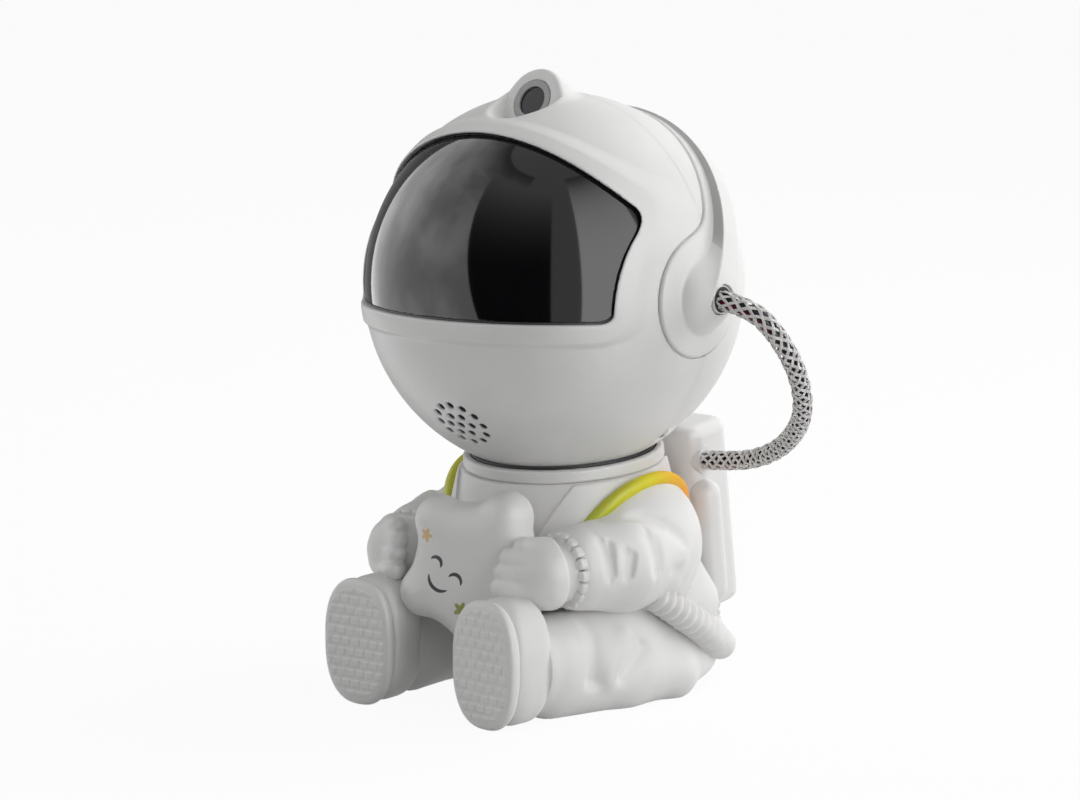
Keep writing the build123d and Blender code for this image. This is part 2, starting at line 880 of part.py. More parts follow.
def boot_body():
    upper = extrude(RectangleRounded(boot_width, boot_height, boot_corner), amount=boot_length)
    upper = fillet(upper.faces().sort_by(Axis.Z)[0].edges(), boot_back_edge)
    return (boot_at * upper) - leg_body


def sole_body():
    sole = extrude(RectangleRounded(sole_width, sole_height, sole_corner), amount=sole_thickness)
    sole = fillet(sole.faces().sort_by(Axis.Z)[-1].edges(), sole_edge)
    return boot_at * Pos(0, 0, boot_length) * sole


boot = boot_body()
sole = sole_body()
parts["left_boot"] = boot - star_body
parts["right_boot"] = mirrored(boot) - star_body
parts["left_sole"] = sole
parts["right_sole"] = mirrored(sole)

# Shoulder trim rings and chest straps
trim_dir = Vector(cos(radians(trim_lean)), 0, -sin(radians(trim_lean)))
trim_at = looking(shoulder, trim_dir, (0, 1, 0))
above_trim_floor = block(Location(), (-far, -far, trim_floor), (far, far, far))
trim_ring = trim_at * Torus(trim_radius, trim_tube)
trim = trim_ring & above_trim_floor
trim -= torso_space
arm_body = limb((shoulder, elbow, wrist), (shoulder_radius, elbow_radius, wrist_radius))


def chest_strap():
    layer = turned_torso(strap_thickness) - torso_space - above_collar
    slab = Pos(strap_x, 0, strap_z) * Rot(0, strap_lean, 0) * Box(strap_width, far, far)
    strap = layer & slab & above_trim_floor
    return strap - arm_body - trim_ring - pack_body - star_body


strap = chest_strap()
parts["left_strap"] = strap
parts["right_strap"] = mirrored(strap) - star_body
parts["left_shoulder_trim"] = trim
parts["right_shoulder_trim"] = mirrored(trim)

# Sleeves, cuffs and hands
cuff_way = Vector(*palm) - Vector(*wrist)
cuff_at = Plane(origin=wrist, z_dir=cuff_way).location * Pos(0, 0, cuff_tube / 2)


def cuff_body():
    bore = Circle(cuff_radius - cuff_tube)
    band = extrude(Circle(cuff_radius + cuff_tube / 2) - bore, amount=cuff_tube)
    gathers = Circle(cuff_radius)
    for i in range(cuff_gathers):
        gathers += Rot(0, 0, 360 * i / cuff_gathers) * Pos(cuff_radius, 0) * Circle(gather_radius)
    frill = extrude(gathers - bore, amount=cuff_tube)
    return cuff_at * (band + Pos(0, 0, cuff_tube) * frill)


def hand_body():
    hand = Pos(*palm) * Sphere(palm_radius)
    hand += between(wrist, palm, cuff_radius - cuff_tube - fit_gap, palm_radius / 2)
    for i in range(finger_count):
        z = palm[2] + (i - (finger_count - 1) / 2) * finger_pitch
        root = (*finger_root, z)
        tip = (*finger_tip, z)
        hand += between(root, tip, finger_radius + fit_gap, finger_radius) + Pos(*tip) * Sphere(finger_radius)
    return hand


cuff = cuff_body() - torso_space - leg_body - strap
behind_trim = block(trim_at, (-far, -far, -far), (far, far, 0))
sleeve = arm_body - torso_space - leg_body - cuff - trim_ring - behind_trim - pack_body
hand = hand_body() - cuff - arm_body - boot - leg_body - strap
parts["left_sleeve"] = sleeve - hose_space - star_body
parts["right_sleeve"] = mirrored(sleeve) - star_body
parts["left_cuff"] = cuff - star_body
parts["right_cuff"] = mirrored(cuff) - star_body
parts["left_hand"] = hand - star_body
parts["right_hand"] = mirrored(hand) - star_body


# Back pack: hollow front part, rear cover, tanks, buttons and their board
def pack_shell():
    shell = pack_body & block(pack_at, (-far, -far, -far), (far, cover_face, far))
    room_low = (pack_wall - pack_width / 2, pack_wall - pack_half_depth, pack_wall - pack_height / 2)
    room_high = (pack_width / 2 - pack_wall, cover_face, pack_height / 2 - pack_wall)
    shell -= block(pack_at, room_low, room_high)
    for x, z in cover_screw_places:
        boss = rod(facing_back(x, z), cover_boss_radius, -pack_half_depth, cover_face) & pack_body
        shell += boss - block(pack_at, (-far, cover_face, -far), (far, far, far))
        shell -= rod(facing_back(x, z), screw_radius + fit_gap / 2, cover_face - cover_screw_length, far)
    shell -= rod(pack_exit_at, bush_radius, -pack_bush_length, far)
    shell -= socket_space
    return shell - torso_space - rod(neck_at, collar_radius, collar_foot, 0) - hose_space


def facing_back(x, z):
    return pack_at * Pos(x, 0, z) * Rot(-90, 0, 0)


cover_screw_places = [
    (sx * (pack_width / 2 - cover_screw_inset), sz * (pack_height / 2 - cover_screw_inset))
    for sx in (-1, 1)
    for sz in (-1, 1)
]
button_places = [(i * button_spacing, button_z) for i in (-1, 0, 1)]
button_names = ["nebula_button", "star_button", "sound_button"]
pack_exit = Vector(pack_width / 2 + pack_bush_rise, pack_exit_y, pack_exit_z)
pack_exit_at = looking(pack_exit, (1, 0, 0), (0, 1, 0))
flange_top = cover_face - moving_gap
flange_foot = flange_top - button_flange_thickness
switch_top = flange_foot - button_travel - moving_gap
pack_board_top_face = switch_top - switch_height
pack_board_low = -pack_height / 2 + pack_wall + fit_gap
socket_low = -pack_height / 2
socket_space = block(
    pack_at,
    (-socket_width / 2 - fit_gap, pack_board_top_face - fit_gap, -far),
    (socket_width / 2 + fit_gap, pack_board_top_face + socket_height + fit_gap, 0),
)
pack_post_places = [
    (sx * (pack_board_width / 2 - pack_post_inset), z)
    for sx in (-1, 1)
    for z in (button_z - pack_post_drop, pack_board_low + pack_post_inset)
]


def pack_cover():
    cover = pack_body & block(pack_at, (-far, cover_face, -far), (far, far, far))
    for x, z in pack_post_places:
        cover += rod(facing_back(x, z), pack_post_radius, pack_board_top_face, cover_face)
    for x, z in button_places:
        cover -= rod(facing_back(x, z), button_radius + moving_gap, cover_face, far)
    for x, z in cover_screw_places:
        cover -= rod(facing_back(x, z), screw_radius + fit_gap, 0, far)
        head_seat = pack_half_depth - screw_head_height + fit_gap
        cover -= rod(facing_back(x, z), screw_head_radius + fit_gap, head_seat, far)
    return cover


def cover_screws():
    screws = []
    for x, z in cover_screw_places:
        seat = pack_half_depth - screw_head_height + fit_gap
        head = rod(facing_back(x, z), screw_head_radius, seat, pack_half_depth)
        screws.append(head + rod(facing_back(x, z), screw_radius, seat - cover_screw_length, seat))
    return Compound(children=screws)


def push_button(x, z):
    cap = rod(facing_back(x, z), button_radius, flange_top, pack_half_depth + button_rise)
    return cap + rod(facing_back(x, z), button_radius + button_flange, flange_foot, flange_top)


def button_board():
    half = pack_board_width / 2
    foot = pack_board_top_face - pack_board_thickness
    board = block(pack_at, (-half, foot, pack_board_low), (half, pack_board_top_face, pack_board_top))
    for x, z in button_places:
        low = (x - switch_size / 2, pack_board_top_face, z - switch_size / 2)
        high = (x + switch_size / 2, switch_top, z + switch_size / 2)
        board += block(pack_at, low, high)
    return board


def power_socket():
    half = socket_width / 2
    low_y = pack_board_top_face
    high_y = low_y + socket_height
    top = socket_low + socket_depth
    case = block(pack_at, (-half, low_y, socket_low), (half, high_y, top))
    mouth_low = (-half + socket_wall, low_y + socket_wall, socket_low)
    mouth_high = (half - socket_wall, high_y - socket_wall, top - socket_wall)
    return case - block(pack_at, mouth_low, mouth_high)


def side_tank():
    tall = tank_length - 2 * tank_radius
    middle = tank_top - tank_length / 2
    at = pack_at * Pos(pack_width / 2, -tank_set_back, middle)
    tank = at * Cylinder(tank_radius, tall)
    for end in (-tall / 2, tall / 2):
        tank += at * Pos(0, 0, end) * Sphere(tank_radius)
    return tank - pack_body - torso_space - arm_body


parts["pack_shell"] = pack_shell()
parts["pack_cover"] = pack_cover()
parts["cover_screws"] = cover_screws()
tank = side_tank()
parts["left_tank"] = tank - hose_space
parts["right_tank"] = mirrored(tank)
for name, (x, z) in zip(button_names, button_places):
    parts[name] = push_button(x, z)
parts["button_board"] = button_board()
parts["power_socket"] = power_socket()

# Rubber bushes and the cable between them
ear_exit = Vector(ear_tip, 0, helmet_height)
parts["ear_cable_bush"] = rod(left_at, bush_radius, ear_tip - ear_bush_length, ear_tip)
parts["pack_cable_bush"] = rod(pack_exit_at, bush_radius, -pack_bush_length, 0)
cable_start = ear_exit - Vector(cable_tuck, 0, 0)
cable_end = pack_exit - Vector(cable_tuck, 0, 0)
cable_line, cable_radii = rounded_path([cable_start, *cable_route, cable_end])
cable_tube = swept(cable_line, cable_diameter / 2)
parts["braided_cable"] = cable_tube - parts["ear_cable_bush"] - parts["pack_cable_bush"]


# Ribbed hose: each rib is four circles of one ruled loft
def ribbed_hose():
    length = hose_line.length
    count = round((length - 2 * hose_plain_end) / hose_pitch)
    pitch = (length - 2 * hose_plain_end) / count
    stations = [(0, hose_valley)]
    for i in range(count):
        start = hose_plain_end + i * pitch
        crest = start + rib_slope
        fall = crest + rib_crest
        foot = fall + rib_slope
        stations += [(start, hose_valley), (crest, hose_radius), (fall, hose_radius), (foot, hose_valley)]
    stations.append((length, hose_valley))
    rings = []
    for place, radius in stations:
        share = place / length
        at = Plane(hose_line @ share, x_dir=(0, 0, 1), z_dir=hose_line % share)
        rings.append(at * Circle(radius))
    return loft(rings, ruled=True) - swept(hose_line, hose_bore)


parts["ribbed_hose"] = ribbed_hose()

os.makedirs("parts", exist_ok=True)
for name, solid in parts.items():
    export_step(solid, f"parts/{name}.step")
print("nodes", len(parts))
print("cable radii", [round(radius, 1) for radius in cable_radii], "length", round(cable_line.length, 1))
print("hose radii", [round(radius, 1) for radius in hose_radii], "length", round(hose_line.length, 1))
cable_section = pi * cable_diameter**2 / 4
print("cable volume share", round(cable_tube.volume / cable_section / cable_line.length, 4))
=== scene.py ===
import json
from math import cos, pi, radians, sin, sqrt

import bpy
import numpy as np
import openvdb
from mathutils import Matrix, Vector


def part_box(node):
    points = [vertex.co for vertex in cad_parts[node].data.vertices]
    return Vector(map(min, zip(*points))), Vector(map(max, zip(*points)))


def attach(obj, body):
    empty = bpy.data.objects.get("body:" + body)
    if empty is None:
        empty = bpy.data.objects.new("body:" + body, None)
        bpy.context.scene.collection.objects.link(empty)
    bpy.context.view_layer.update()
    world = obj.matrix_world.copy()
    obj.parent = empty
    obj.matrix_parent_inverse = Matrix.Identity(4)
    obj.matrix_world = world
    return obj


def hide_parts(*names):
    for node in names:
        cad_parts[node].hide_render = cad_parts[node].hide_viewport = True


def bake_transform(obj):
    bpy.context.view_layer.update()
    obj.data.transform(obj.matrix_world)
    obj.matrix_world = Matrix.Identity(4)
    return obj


# Looks of a seated space traveller that projects stars. Shapes are worked out in millimetres.
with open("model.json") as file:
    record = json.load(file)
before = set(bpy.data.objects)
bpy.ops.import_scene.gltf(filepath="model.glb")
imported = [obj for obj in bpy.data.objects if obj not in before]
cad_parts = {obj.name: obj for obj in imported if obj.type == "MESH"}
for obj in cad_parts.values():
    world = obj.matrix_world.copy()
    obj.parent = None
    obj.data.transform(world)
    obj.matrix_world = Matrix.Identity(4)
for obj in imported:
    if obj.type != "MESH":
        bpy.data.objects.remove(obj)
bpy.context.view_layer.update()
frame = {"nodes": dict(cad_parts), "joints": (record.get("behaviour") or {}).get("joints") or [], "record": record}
nodes = frame["nodes"]
mm = 0.001
to_mm = 1000.0
joint_places = {joint["name"]: joint["pos_m"] for joint in frame["joints"] if joint.get("pos_m")}
head = tuple(value / mm for value in joint_places["head_tilt"])


def unit(way):
    length = sqrt(sum(value * value for value in way))
    return tuple(value / length for value in way)


def cross(a, b):
    return (a[1] * b[2] - a[2] * b[1], a[2] * b[0] - a[0] * b[2], a[0] * b[1] - a[1] * b[0])


# Camera at the photograph's angle
camera_turn = radians(40.0)
camera_rise = radians(9.0)
camera_data = bpy.data.cameras.new("photo_camera")
camera_data.lens = 127.17
camera_data.sensor_width = 36.0
camera = bpy.data.objects.new("photo_camera", camera_data)
camera.location = (0.76221, -0.91521, 0.27956)
camera_back = Vector(
    (sin(camera_turn) * cos(camera_rise), -cos(camera_turn) * cos(camera_rise), sin(camera_rise))
)
camera.rotation_euler = camera_back.to_track_quat("Z", "Y").to_euler()
bpy.context.collection.objects.link(camera)
bpy.context.scene.camera = camera


# Materials
class Wire:
    """A node socket. Arithmetic on it adds Math nodes."""

    def __init__(self, tree, socket=None):
        self.tree = tree
        self.socket = socket

    def node(self, kind, settings=None, sockets=None, out=0):
        made = self.tree.nodes.new("ShaderNode" + kind)
        for name, value in (settings or {}).items():
            if name == "stops":
                while len(made.color_ramp.elements) < len(value):
                    made.color_ramp.elements.new(0.5)
                for element, (place, color) in zip(made.color_ramp.elements, value):
                    element.position = place
                    element.color = color
            else:
                setattr(made, name, value)
        for name, value in (sockets or {}).items():
            if isinstance(value, Wire):
                self.tree.links.new(value.socket, made.inputs[name])
            else:
                made.inputs[name].default_value = value
        return Wire(self.tree, made.outputs[out] if made.outputs else None)

    def math(self, operation, first, second=0.0):
        return self.node("Math", {"operation": operation}, {0: first, 1: second})

    def __add__(self, other):
        return self.math("ADD", self, other)

    def __sub__(self, other):
        return self.math("SUBTRACT", self, other)

    def __rsub__(self, other):
        return self.math("SUBTRACT", other, self)

    def __mul__(self, other):
        return self.math("MULTIPLY", self, other)

    def __truediv__(self, other):
        return self.math("DIVIDE", self, other)

    def __pow__(self, other):
        return self.math("POWER", self, other)

    def __abs__(self):
        return self.math("ABSOLUTE", self)

    __radd__ = __add__
    __rmul__ = __mul__

    def least(self, other):
        return self.math("MINIMUM", self, other)

    def most(self, other):
        return self.math("MAXIMUM", self, other)

    def step(self, low, high):
        """0 below low, 1 above high, smooth between."""
        settings = {"interpolation_type": "SMOOTHSTEP"}
        return self.node("MapRange", settings, {"Value": self, "From Min": low, "From Max": high})

    def along(self, way):
        sockets = {0: self, 1: way}
        return self.node("VectorMath", {"operation": "DOT_PRODUCT"}, sockets, out="Value")

    def noise(self, scale, detail=2.0):
        return self.node("TexNoise", None, {"Vector": self, "Scale": scale, "Detail": detail})

    def mix(self, first, second):
        """first where this mask is 0, second where it is 1."""
        settings = {"data_type": "RGBA"}
        return self.node("Mix", settings, {0: self, 6: first, 7: second}, out=2)


def emptied(owner):
    """The start of a node tree with nothing in it, for a material or a world."""
    owner.use_nodes = True
    owner.node_tree.nodes.clear()
    return Wire(owner.node_tree)


def material(name, build, **constants):
    """A Principled material. build gets its place in metres and returns what varies."""
    made = bpy.data.materials.new(name)
    start = emptied(made)
    place = start.node("TexCoord", out="Object")
    sockets = {key.replace("_", " "): value for key, value in constants.items()}
    sockets.update(build(place))
    shader = start.node("BsdfPrincipled", None, sockets)
    start.node("OutputMaterial", None, {"Surface": shader})
    return made


def tone(red, green, blue):
    return (red, green, blue, 1.0)


def grey(value):
    return tone(value, value, value)


def darkened(color, share):
    return tone(*[value * share for value in color[:3]])


def counted_from(place, origin):
    """The place as seen from an origin that is given in millimetres."""
    shift = tuple(-value * mm for value in origin)
    return place.node("VectorMath", {"operation": "ADD"}, {0: place, 1: shift})


def bump(place, height, distance, strength=1.0):
    return place.node("Bump", None, {"Height": height, "Distance": distance, "Strength": strength})


def moulded(color, roughness, grain=2600.0, depth=0.00002, dirt=0.04):
    """Moulded plastic: fine spark-eroded grain, faint drift of tone and gloss."""

    def build(place):
        drift = place.noise(45.0, 3.0)
        fine = place.noise(grain, 1.0)
        return {
            "Base Color": drift.step(0.3, 0.7).mix(darkened(color, 1 - dirt), color),
            "Roughness": drift * 0.08 + fine * 0.06 + (roughness - 0.07),
            "Normal": bump(place, fine, depth, 0.5),
        }

    return build


def brushed(color, roughness):
    """Bare metal with fine drawn lines."""
    stretch = (1.0, 1.0, 14.0)

    def build(place):
        lines = place.node("VectorMath", {"operation": "MULTIPLY"}, {0: place, 1: stretch})
        streak = lines.noise(900.0, 2.0)
        return {
            "Base Color": streak.mix(darkened(color, 0.82), color),
            "Roughness": streak * 0.2 + roughness - 0.1,
            "Normal": bump(place, streak, 0.00001, 0.3),
        }

    return build


white = tone(0.80, 0.797, 0.79)
shell_gloss = 0.42
cloth_white = tone(0.80, 0.796, 0.788)
cloth_grain = (1900.0, 0.00003)
plastic_ior = 1.46
shell_white = material("shell_white", moulded(white, shell_gloss), IOR=plastic_ior)
suit_white = material("suit_white", moulded(cloth_white, 0.5, *cloth_grain), IOR=plastic_ior)
seal_black = material("seal_black", moulded(grey(0.012), 0.55, 3000.0))
rubber_black = material("rubber_black", moulded(grey(0.016), 0.6, 2200.0))
plastic_black = material("plastic_black", moulded(grey(0.03), 0.45))
ring_grey = material("ring_grey", moulded(grey(0.30), 0.32, 3200.0), IOR=1.5)
button_grey = material("button_grey", moulded(grey(0.62), 0.4))
gear_white = material("gear_white", moulded(tone(0.74, 0.73, 0.68), 0.35))
steel_plain = material("steel_plain", brushed(tone(0.58, 0.58, 0.57), 0.34), Metallic=1.0)
aluminium_plain = material("aluminium_plain", brushed(tone(0.78, 0.78, 0.79), 0.4), Metallic=1.0)
brass_turned = material("brass_turned", brushed(tone(0.72, 0.55, 0.26), 0.28), Metallic=1.0)
nickel_plate = material("nickel_plate", brushed(tone(0.66, 0.64, 0.61), 0.18), Metallic=1.0)


def board_look(place):
    copper = place.noise(420.0, 4.0).step(0.52, 0.56)
    return {
        "Base Color": copper.mix(tone(0.012, 0.11, 0.045), tone(0.02, 0.17, 0.07)),
        "Roughness": copper * 0.1 + 0.3,
        "Normal": bump(place, copper, 0.00003),
    }


def film_look(place):
    ripple = place.noise(160.0, 3.0)
    return {
        "Base Color": ripple.mix(tone(0.42, 0.46, 0.60), tone(0.66, 0.72, 0.84)),
        "Roughness": ripple * 0.12 + 0.06,
        "Normal": bump(place, ripple, 0.0004),
    }


def clear_look(place):
    drift = place.noise(60.0)
    return {
        "Base Color": drift.mix(tone(0.80, 0.84, 0.87), tone(0.88, 0.9, 0.92)),
        "Roughness": drift * 0.04,
    }


def dark_lens_look(place):
    drift = place.noise(220.0)
    return {
        "Base Color": drift.mix(tone(0.010, 0.010, 0.014), tone(0.022, 0.020, 0.030)),
        "Roughness": drift * 0.04 + 0.04,
    }


def visor_look(place):
    drift = place.noise(30.0, 2.0)
    return {
        "Base Color": drift.mix(tone(0.004, 0.004, 0.005), tone(0.007, 0.007, 0.008)),
        "Roughness": drift * 0.03 + 0.05,
    }


def trim_look(place):
    """Green-yellow in front, through yellow, to orange behind."""
    depth = place.along((0.0, 1.0, 0.0)) * to_mm
    drift = place.noise(90.0) * 3.0
    stops = [
        (0.0, tone(0.46, 0.52, 0.004)),
        (0.45, tone(0.76, 0.68, 0.002)),
        (0.7, tone(0.88, 0.50, 0.002)),
        (1.0, tone(0.90, 0.33, 0.002)),
    ]
    run = depth + drift
    share = run.node("MapRange", None, {"Value": run, "From Min": -18.0, "From Max": 28.0})
    return {
        "Base Color": share.node("ValToRGB", {"stops": stops}, {0: share}),
        "Roughness": place.noise(1800.0, 1.0) * 0.08 + 0.46,
    }


board_green = material("board_green", board_look)
nebula_film = material("nebula_film", film_look, IOR=1.49)
clear_lens = material("clear_lens", clear_look, IOR=1.49, Transmission_Weight=0.9)
dark_lens = material("dark_lens", dark_lens_look, IOR=1.33)
visor_smoke = material("visor_smoke", visor_look, IOR=1.42)
trim_band = material("trim_band", trim_look, IOR=1.48)

slot_finish = {
    "white_shell": shell_white,
    "suit_white": suit_white,
    "visor_smoke": visor_smoke,
    "black_rubber": rubber_black,
    "lens_ring": ring_grey,
    "clear_lens": clear_lens,
    "dark_lens": dark_lens,
    "board_green": board_green,
    "aluminium": aluminium_plain,
    "steel": steel_plain,
    "brass": brass_turned,
    "black_plastic": plastic_black,
    "nebula_film": nebula_film,
    "gear_white": gear_white,
    "trim_yellow": trim_band,
    "star_white": suit_white,
    "button_grey": button_grey,
    "braid": rubber_black,
    "magnet": nickel_plate,
}


def finish_node(name, finish):
    surface = nodes[name].data
    surface.materials.clear()
    surface.materials.append(finish)


for subpart in frame["record"]["subparts"]:
    finish_node(subpart["node"], slot_finish[subpart["material_slot"]])


# Sculpting: each form is a distance, negative inside, that is meshed on a fine grid
skin_steps = 3.0
mesh_thrift = 0.005
settle_rounds = 3


def away(p, place):
    return [a - b for a, b in zip(p, place)]


def dot(v, way):
    return v[0] * way[0] + v[1] * way[1] + v[2] * way[2]


def size(v):
    return np.sqrt(v[0] * v[0] + v[1] * v[1] + v[2] * v[2])


def ball(p, place, radius):
    return size(away(p, place)) - radius


def limb(p, start, end, start_radius, end_radius):
    v = away(p, start)
    way = [b - a for a, b in zip(start, end)]
    share = np.clip(dot(v, way) / dot(way, way), 0, 1)
    off = [a - share * b for a, b in zip(v, way)]
    return size(off) - start_radius - share * (end_radius - start_radius)


def join(a, b, soft):
    """Both together, with a fillet."""
    near = np.maximum(soft - np.abs(a - b), 0) / soft
    return np.minimum(a, b) - near * near * (soft / 4)


def meet(a, b, soft):
    """What lies in both, with a rounded edge."""
    return -join(-a, -b, soft)


def cut(a, b, soft):
    return meet(a, -b, soft)


def ease(share):
    share = np.clip(share, 0, 1)
    return share * share * (3 - 2 * share)


def chain(p, points):
    """Distance from a line through points."""
    found = None
    for start, end in zip(points, points[1:]):
        d = limb(p, start, end, 0, 0)
        found = d if found is None else np.minimum(found, d)
    return found


def fold(shape, p, points, depth, width, gentle=1.0, taper=1.0):
    """A soft crease along points, or a ridge where depth is negative.

    It may be wider in front by the factor gentle, and narrower at its foot by the factor taper.
    """
    d = chain(p, points) / width
    if gentle > 1.0:
        rising = np.array(sorted(points, key=lambda point: point[2]))
        ahead = np.interp(p[2], rising[:, 2], rising[:, 1]) - p[1]
        d = d / (1 + (gentle - 1) * ease(ahead / width + 0.5))
        high = np.clip((p[2] - rising[0, 2]) / (rising[-1, 2] - rising[0, 2]), 0, 1)
        d = d / (taper + (1 - taper) * high)
    return shape + depth * np.exp(-d * d)


def mirrored(shape):
    return lambda p: shape([-p[0], p[1], p[2]])


def slope(shape, points):
    """Which way the distance grows at each point."""
    small = 0.02
    columns = []
    for i in range(3):
        shift = np.zeros(3)
        shift[i] = small
        ahead = shape(list((points + shift).T))
        behind = shape(list((points - shift).T))
        columns.append((ahead - behind) / (2 * small))
    return np.stack(columns, axis=1)


def sculpt(name, shape, node_names, body, finish, step=0.5, shading=None):
    """A piece meshed from its distance, in the room of the nodes that it stands for."""
    margin = 2.5
    corners = [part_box(node) for node in node_names]
    low = np.min([np.array(pair[0]) for pair in corners], axis=0) / mm - margin
    high = np.max([np.array(pair[1]) for pair in corners], axis=0) / mm + margin
    axes = [np.arange(a, b, step, dtype=np.float32) for a, b in zip(low, high)]
    grid_places = np.meshgrid(*axes, indexing="ij", sparse=True)
    field = np.clip(shape(grid_places) / step, -skin_steps, skin_steps).astype(np.float32)
    grid = openvdb.FloatGrid(skin_steps)
    grid.copyFromArray(field, tolerance=0.0)
    grid.gridClass = openvdb.GridClass.LEVEL_SET
    points, triangles, quads = grid.convertToPolygons(isovalue=0.0, adaptivity=mesh_thrift)
    points = np.asarray(points, float) * step + np.array([axis[0] for axis in axes])
    for _ in range(settle_rounds):
        way = slope(shape, points)
        room = np.maximum((way * way).sum(axis=1), 0.1)
        move = np.clip(shape(list(points.T)) / room, -step / 2, step / 2)
        points = points - move[:, None] * way
    way = slope(shading or shape, points)
    normals = way / np.maximum(np.linalg.norm(way, axis=1), 1e-6)[:, None]
    faces = np.asarray(triangles).tolist() + np.asarray(quads).tolist()
    dress(name, points, faces, body, finish, node_names, normals)


def dress(name, points, faces, body, finish, node_names, normals=None):
    """A finished piece from points in millimetres."""
    mesh = bpy.data.meshes.new(name)
    mesh.from_pydata((np.asarray(points) * mm).tolist(), [], faces)
    mesh.validate()
    if normals is not None:
        first = mesh.polygons[0]
        guide = sum((Vector(normals[i]) for i in first.vertices), Vector())
        if first.normal.dot(guide) < 0:
            mesh.flip_normals()
    mesh.polygons.foreach_set("use_smooth", [True] * len(mesh.polygons))
    if normals is not None:
        mesh.normals_split_custom_set_from_vertices(normals.tolist())
    for look in finish if isinstance(finish, list) else [finish]:
        mesh.materials.append(look)
    piece = bpy.data.objects.new(name, mesh)
    bpy.context.collection.objects.link(piece)
    if body:
        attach(piece, body)
    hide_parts(*node_names)
    return piece


def sculpt_suit(name, shape, node_names, step=0.5):
    sculpt(name, shape, node_names, "body", suit_white, step)


# Helmet ball with the visor's rim, the crown hood, chin holes and screw recesses
ball_radius = 60.0
inner_radius = 57.5
split_y = 4.0
visor_window = (50.5, 5.5, 27.0, 49.2, 3.6)
rim_window = (55.0, 12.7, 29.25, 53.8, 9.0)
pane_flare = 0.046
rim_height = 1.1
window_back = 10.0
visor_radius = 59.3
gasket_depth = 55.9
lens_point = (0.0, -10.70, 186.22)
lens_axis = (0.0, -0.91355, 0.40674)
hood_centre = (0.0, -7.96, 185.0)
hood_radius = 10.5
hood_fullness = 0.6
lens_seat = 6.9
lens_bore = 5.7
vent_axis = (0.0, -0.74314, -0.66913)
vent_up = (0.0, -0.66913, 0.74314)
vent_pitch = 4.2
vent_radius = 1.3
screw_places = [(-36.5, 84.5), (36.5, 84.5), (-12.5, 177.5), (12.5, 177.5)]
screw_post = 4.8
screw_recess = 3.6
band_axis = (0.0, 0.84805, -0.52992)
band_up = (0.0, 0.52992, 0.84805)
ear_radius = 18.5
ear_bore = 4.7
ear_dome = 13.2
band_half = 7.5
band_bed = 0.8
ridge_half = 4.25
ridge_drop = 4.45
ridge_radius = 66.15


def pane(x, z, half, drop, side_rise, arch_rise, corner):
    """A window seen from the front: an arch above, flared sides and a straight sill."""
    middle = (arch_rise**2 - side_rise**2 - half**2) / (2 * (arch_rise - side_rise))
    arch = np.hypot(x, z - middle) - (arch_rise - middle)
    side = np.abs(x) - half - pane_flare * (z + drop)
    return meet(meet(side, arch, corner), -drop - z, corner)


def visor_opening(v, shrink=0.0):
    return np.maximum(pane(v[0], v[2], *visor_window) + shrink, v[1] + window_back)


def ear_hole(v):
    return np.maximum(np.hypot(v[1], v[2]) - ear_bore, -v[0])


def beside_axis(v, axis):
    """Distance from an axis, and how far along it."""
    along = dot(v, axis)
    return np.sqrt(np.maximum(dot(v, v) - along * along, 0)), along


def vents(v):
    """Speaker holes in the chin: one with two rings round it."""
    u = v[0]
    h = dot(v, vent_up)
    found = np.hypot(u, h)
    for ring in (1, 2):
        for i in range(6 * ring):
            turn = 2 * pi * i / (6 * ring)
            hole = np.hypot(u - ring * vent_pitch * cos(turn), h - ring * vent_pitch * sin(turn))
            found = np.minimum(found, hole)
    return np.maximum(found - vent_radius, 40 - dot(v, vent_axis))


def band_outline(v, grow):
    strip = np.maximum(np.abs(dot(v, band_axis)) - band_half, -dot(v, band_up))
    ears = np.hypot(v[1], v[2]) - ear_radius
    return join(strip, ears, 9.0) - grow


def helmet_skin(p):
    v = away(p, head)
    r = size(v)
    rim = pane(v[0], v[2], *rim_window)
    outer = r - ball_radius - rim_height * ease(-rim / 1.5) * ease(-v[1] / 12)
    outer = join(outer, ball(p, hood_centre, hood_radius + hood_fullness), 4.0)
    off, ahead = beside_axis(away(p, lens_point), lens_axis)
    room = np.maximum(r - inner_radius, -np.maximum(off - hood_radius - 2.5, -hood_radius - ahead))
    recess = None
    for x, z in screw_places:
        hole = np.hypot(p[0] - x, p[2] - z)
        room = np.maximum(room, -np.maximum(hole - screw_post, split_y - 14 - p[1]))
        hole = np.maximum(hole - screw_recess, 7 - p[1])
        recess = hole if recess is None else np.minimum(recess, hole)
    shell = np.maximum(outer, -room)
    shell = cut(shell, np.maximum(off - hood_radius, -ahead), 1.6)
    shell = cut(shell, np.maximum(off - lens_seat, -1.7 - ahead), 0.4)
    shell = np.maximum(shell, -np.maximum(off - lens_bore, -24 - ahead))
    shell = cut(shell, visor_opening(v), 1.3)
    shell = cut(shell, np.maximum(band_outline(v, 0.45), ball_radius - band_bed - r), 0.5)
    shell = cut(shell, ear_hole(v), 0.3)
    shell = cut(shell, vents(v), 0.5)
    return cut(shell, recess, 1.6)


def helmet_front(p):
    return np.maximum(helmet_skin(p), p[1] - split_y)


def helmet_rear(p):
    return np.maximum(helmet_skin(p), split_y - p[1])


def visor_pane(p):
    v = away(p, head)
    r = size(v)
    sheet = np.maximum(r - visor_radius, inner_radius - r)
    return meet(sheet, visor_opening(v, 0.25), 0.5)


def visor_seal(p):
    v = away(p, head)
    r = size(v)
    window = visor_opening(v)
    lip = np.maximum(np.abs(window + 0.1) - 0.6, np.maximum(r - 59.6, 57.0 - r))
    frame_strip = np.maximum(np.abs(window - 0.25) - 2.25, np.maximum(r - inner_radius, gasket_depth - r))
    return join(lip, frame_strip, 0.3)


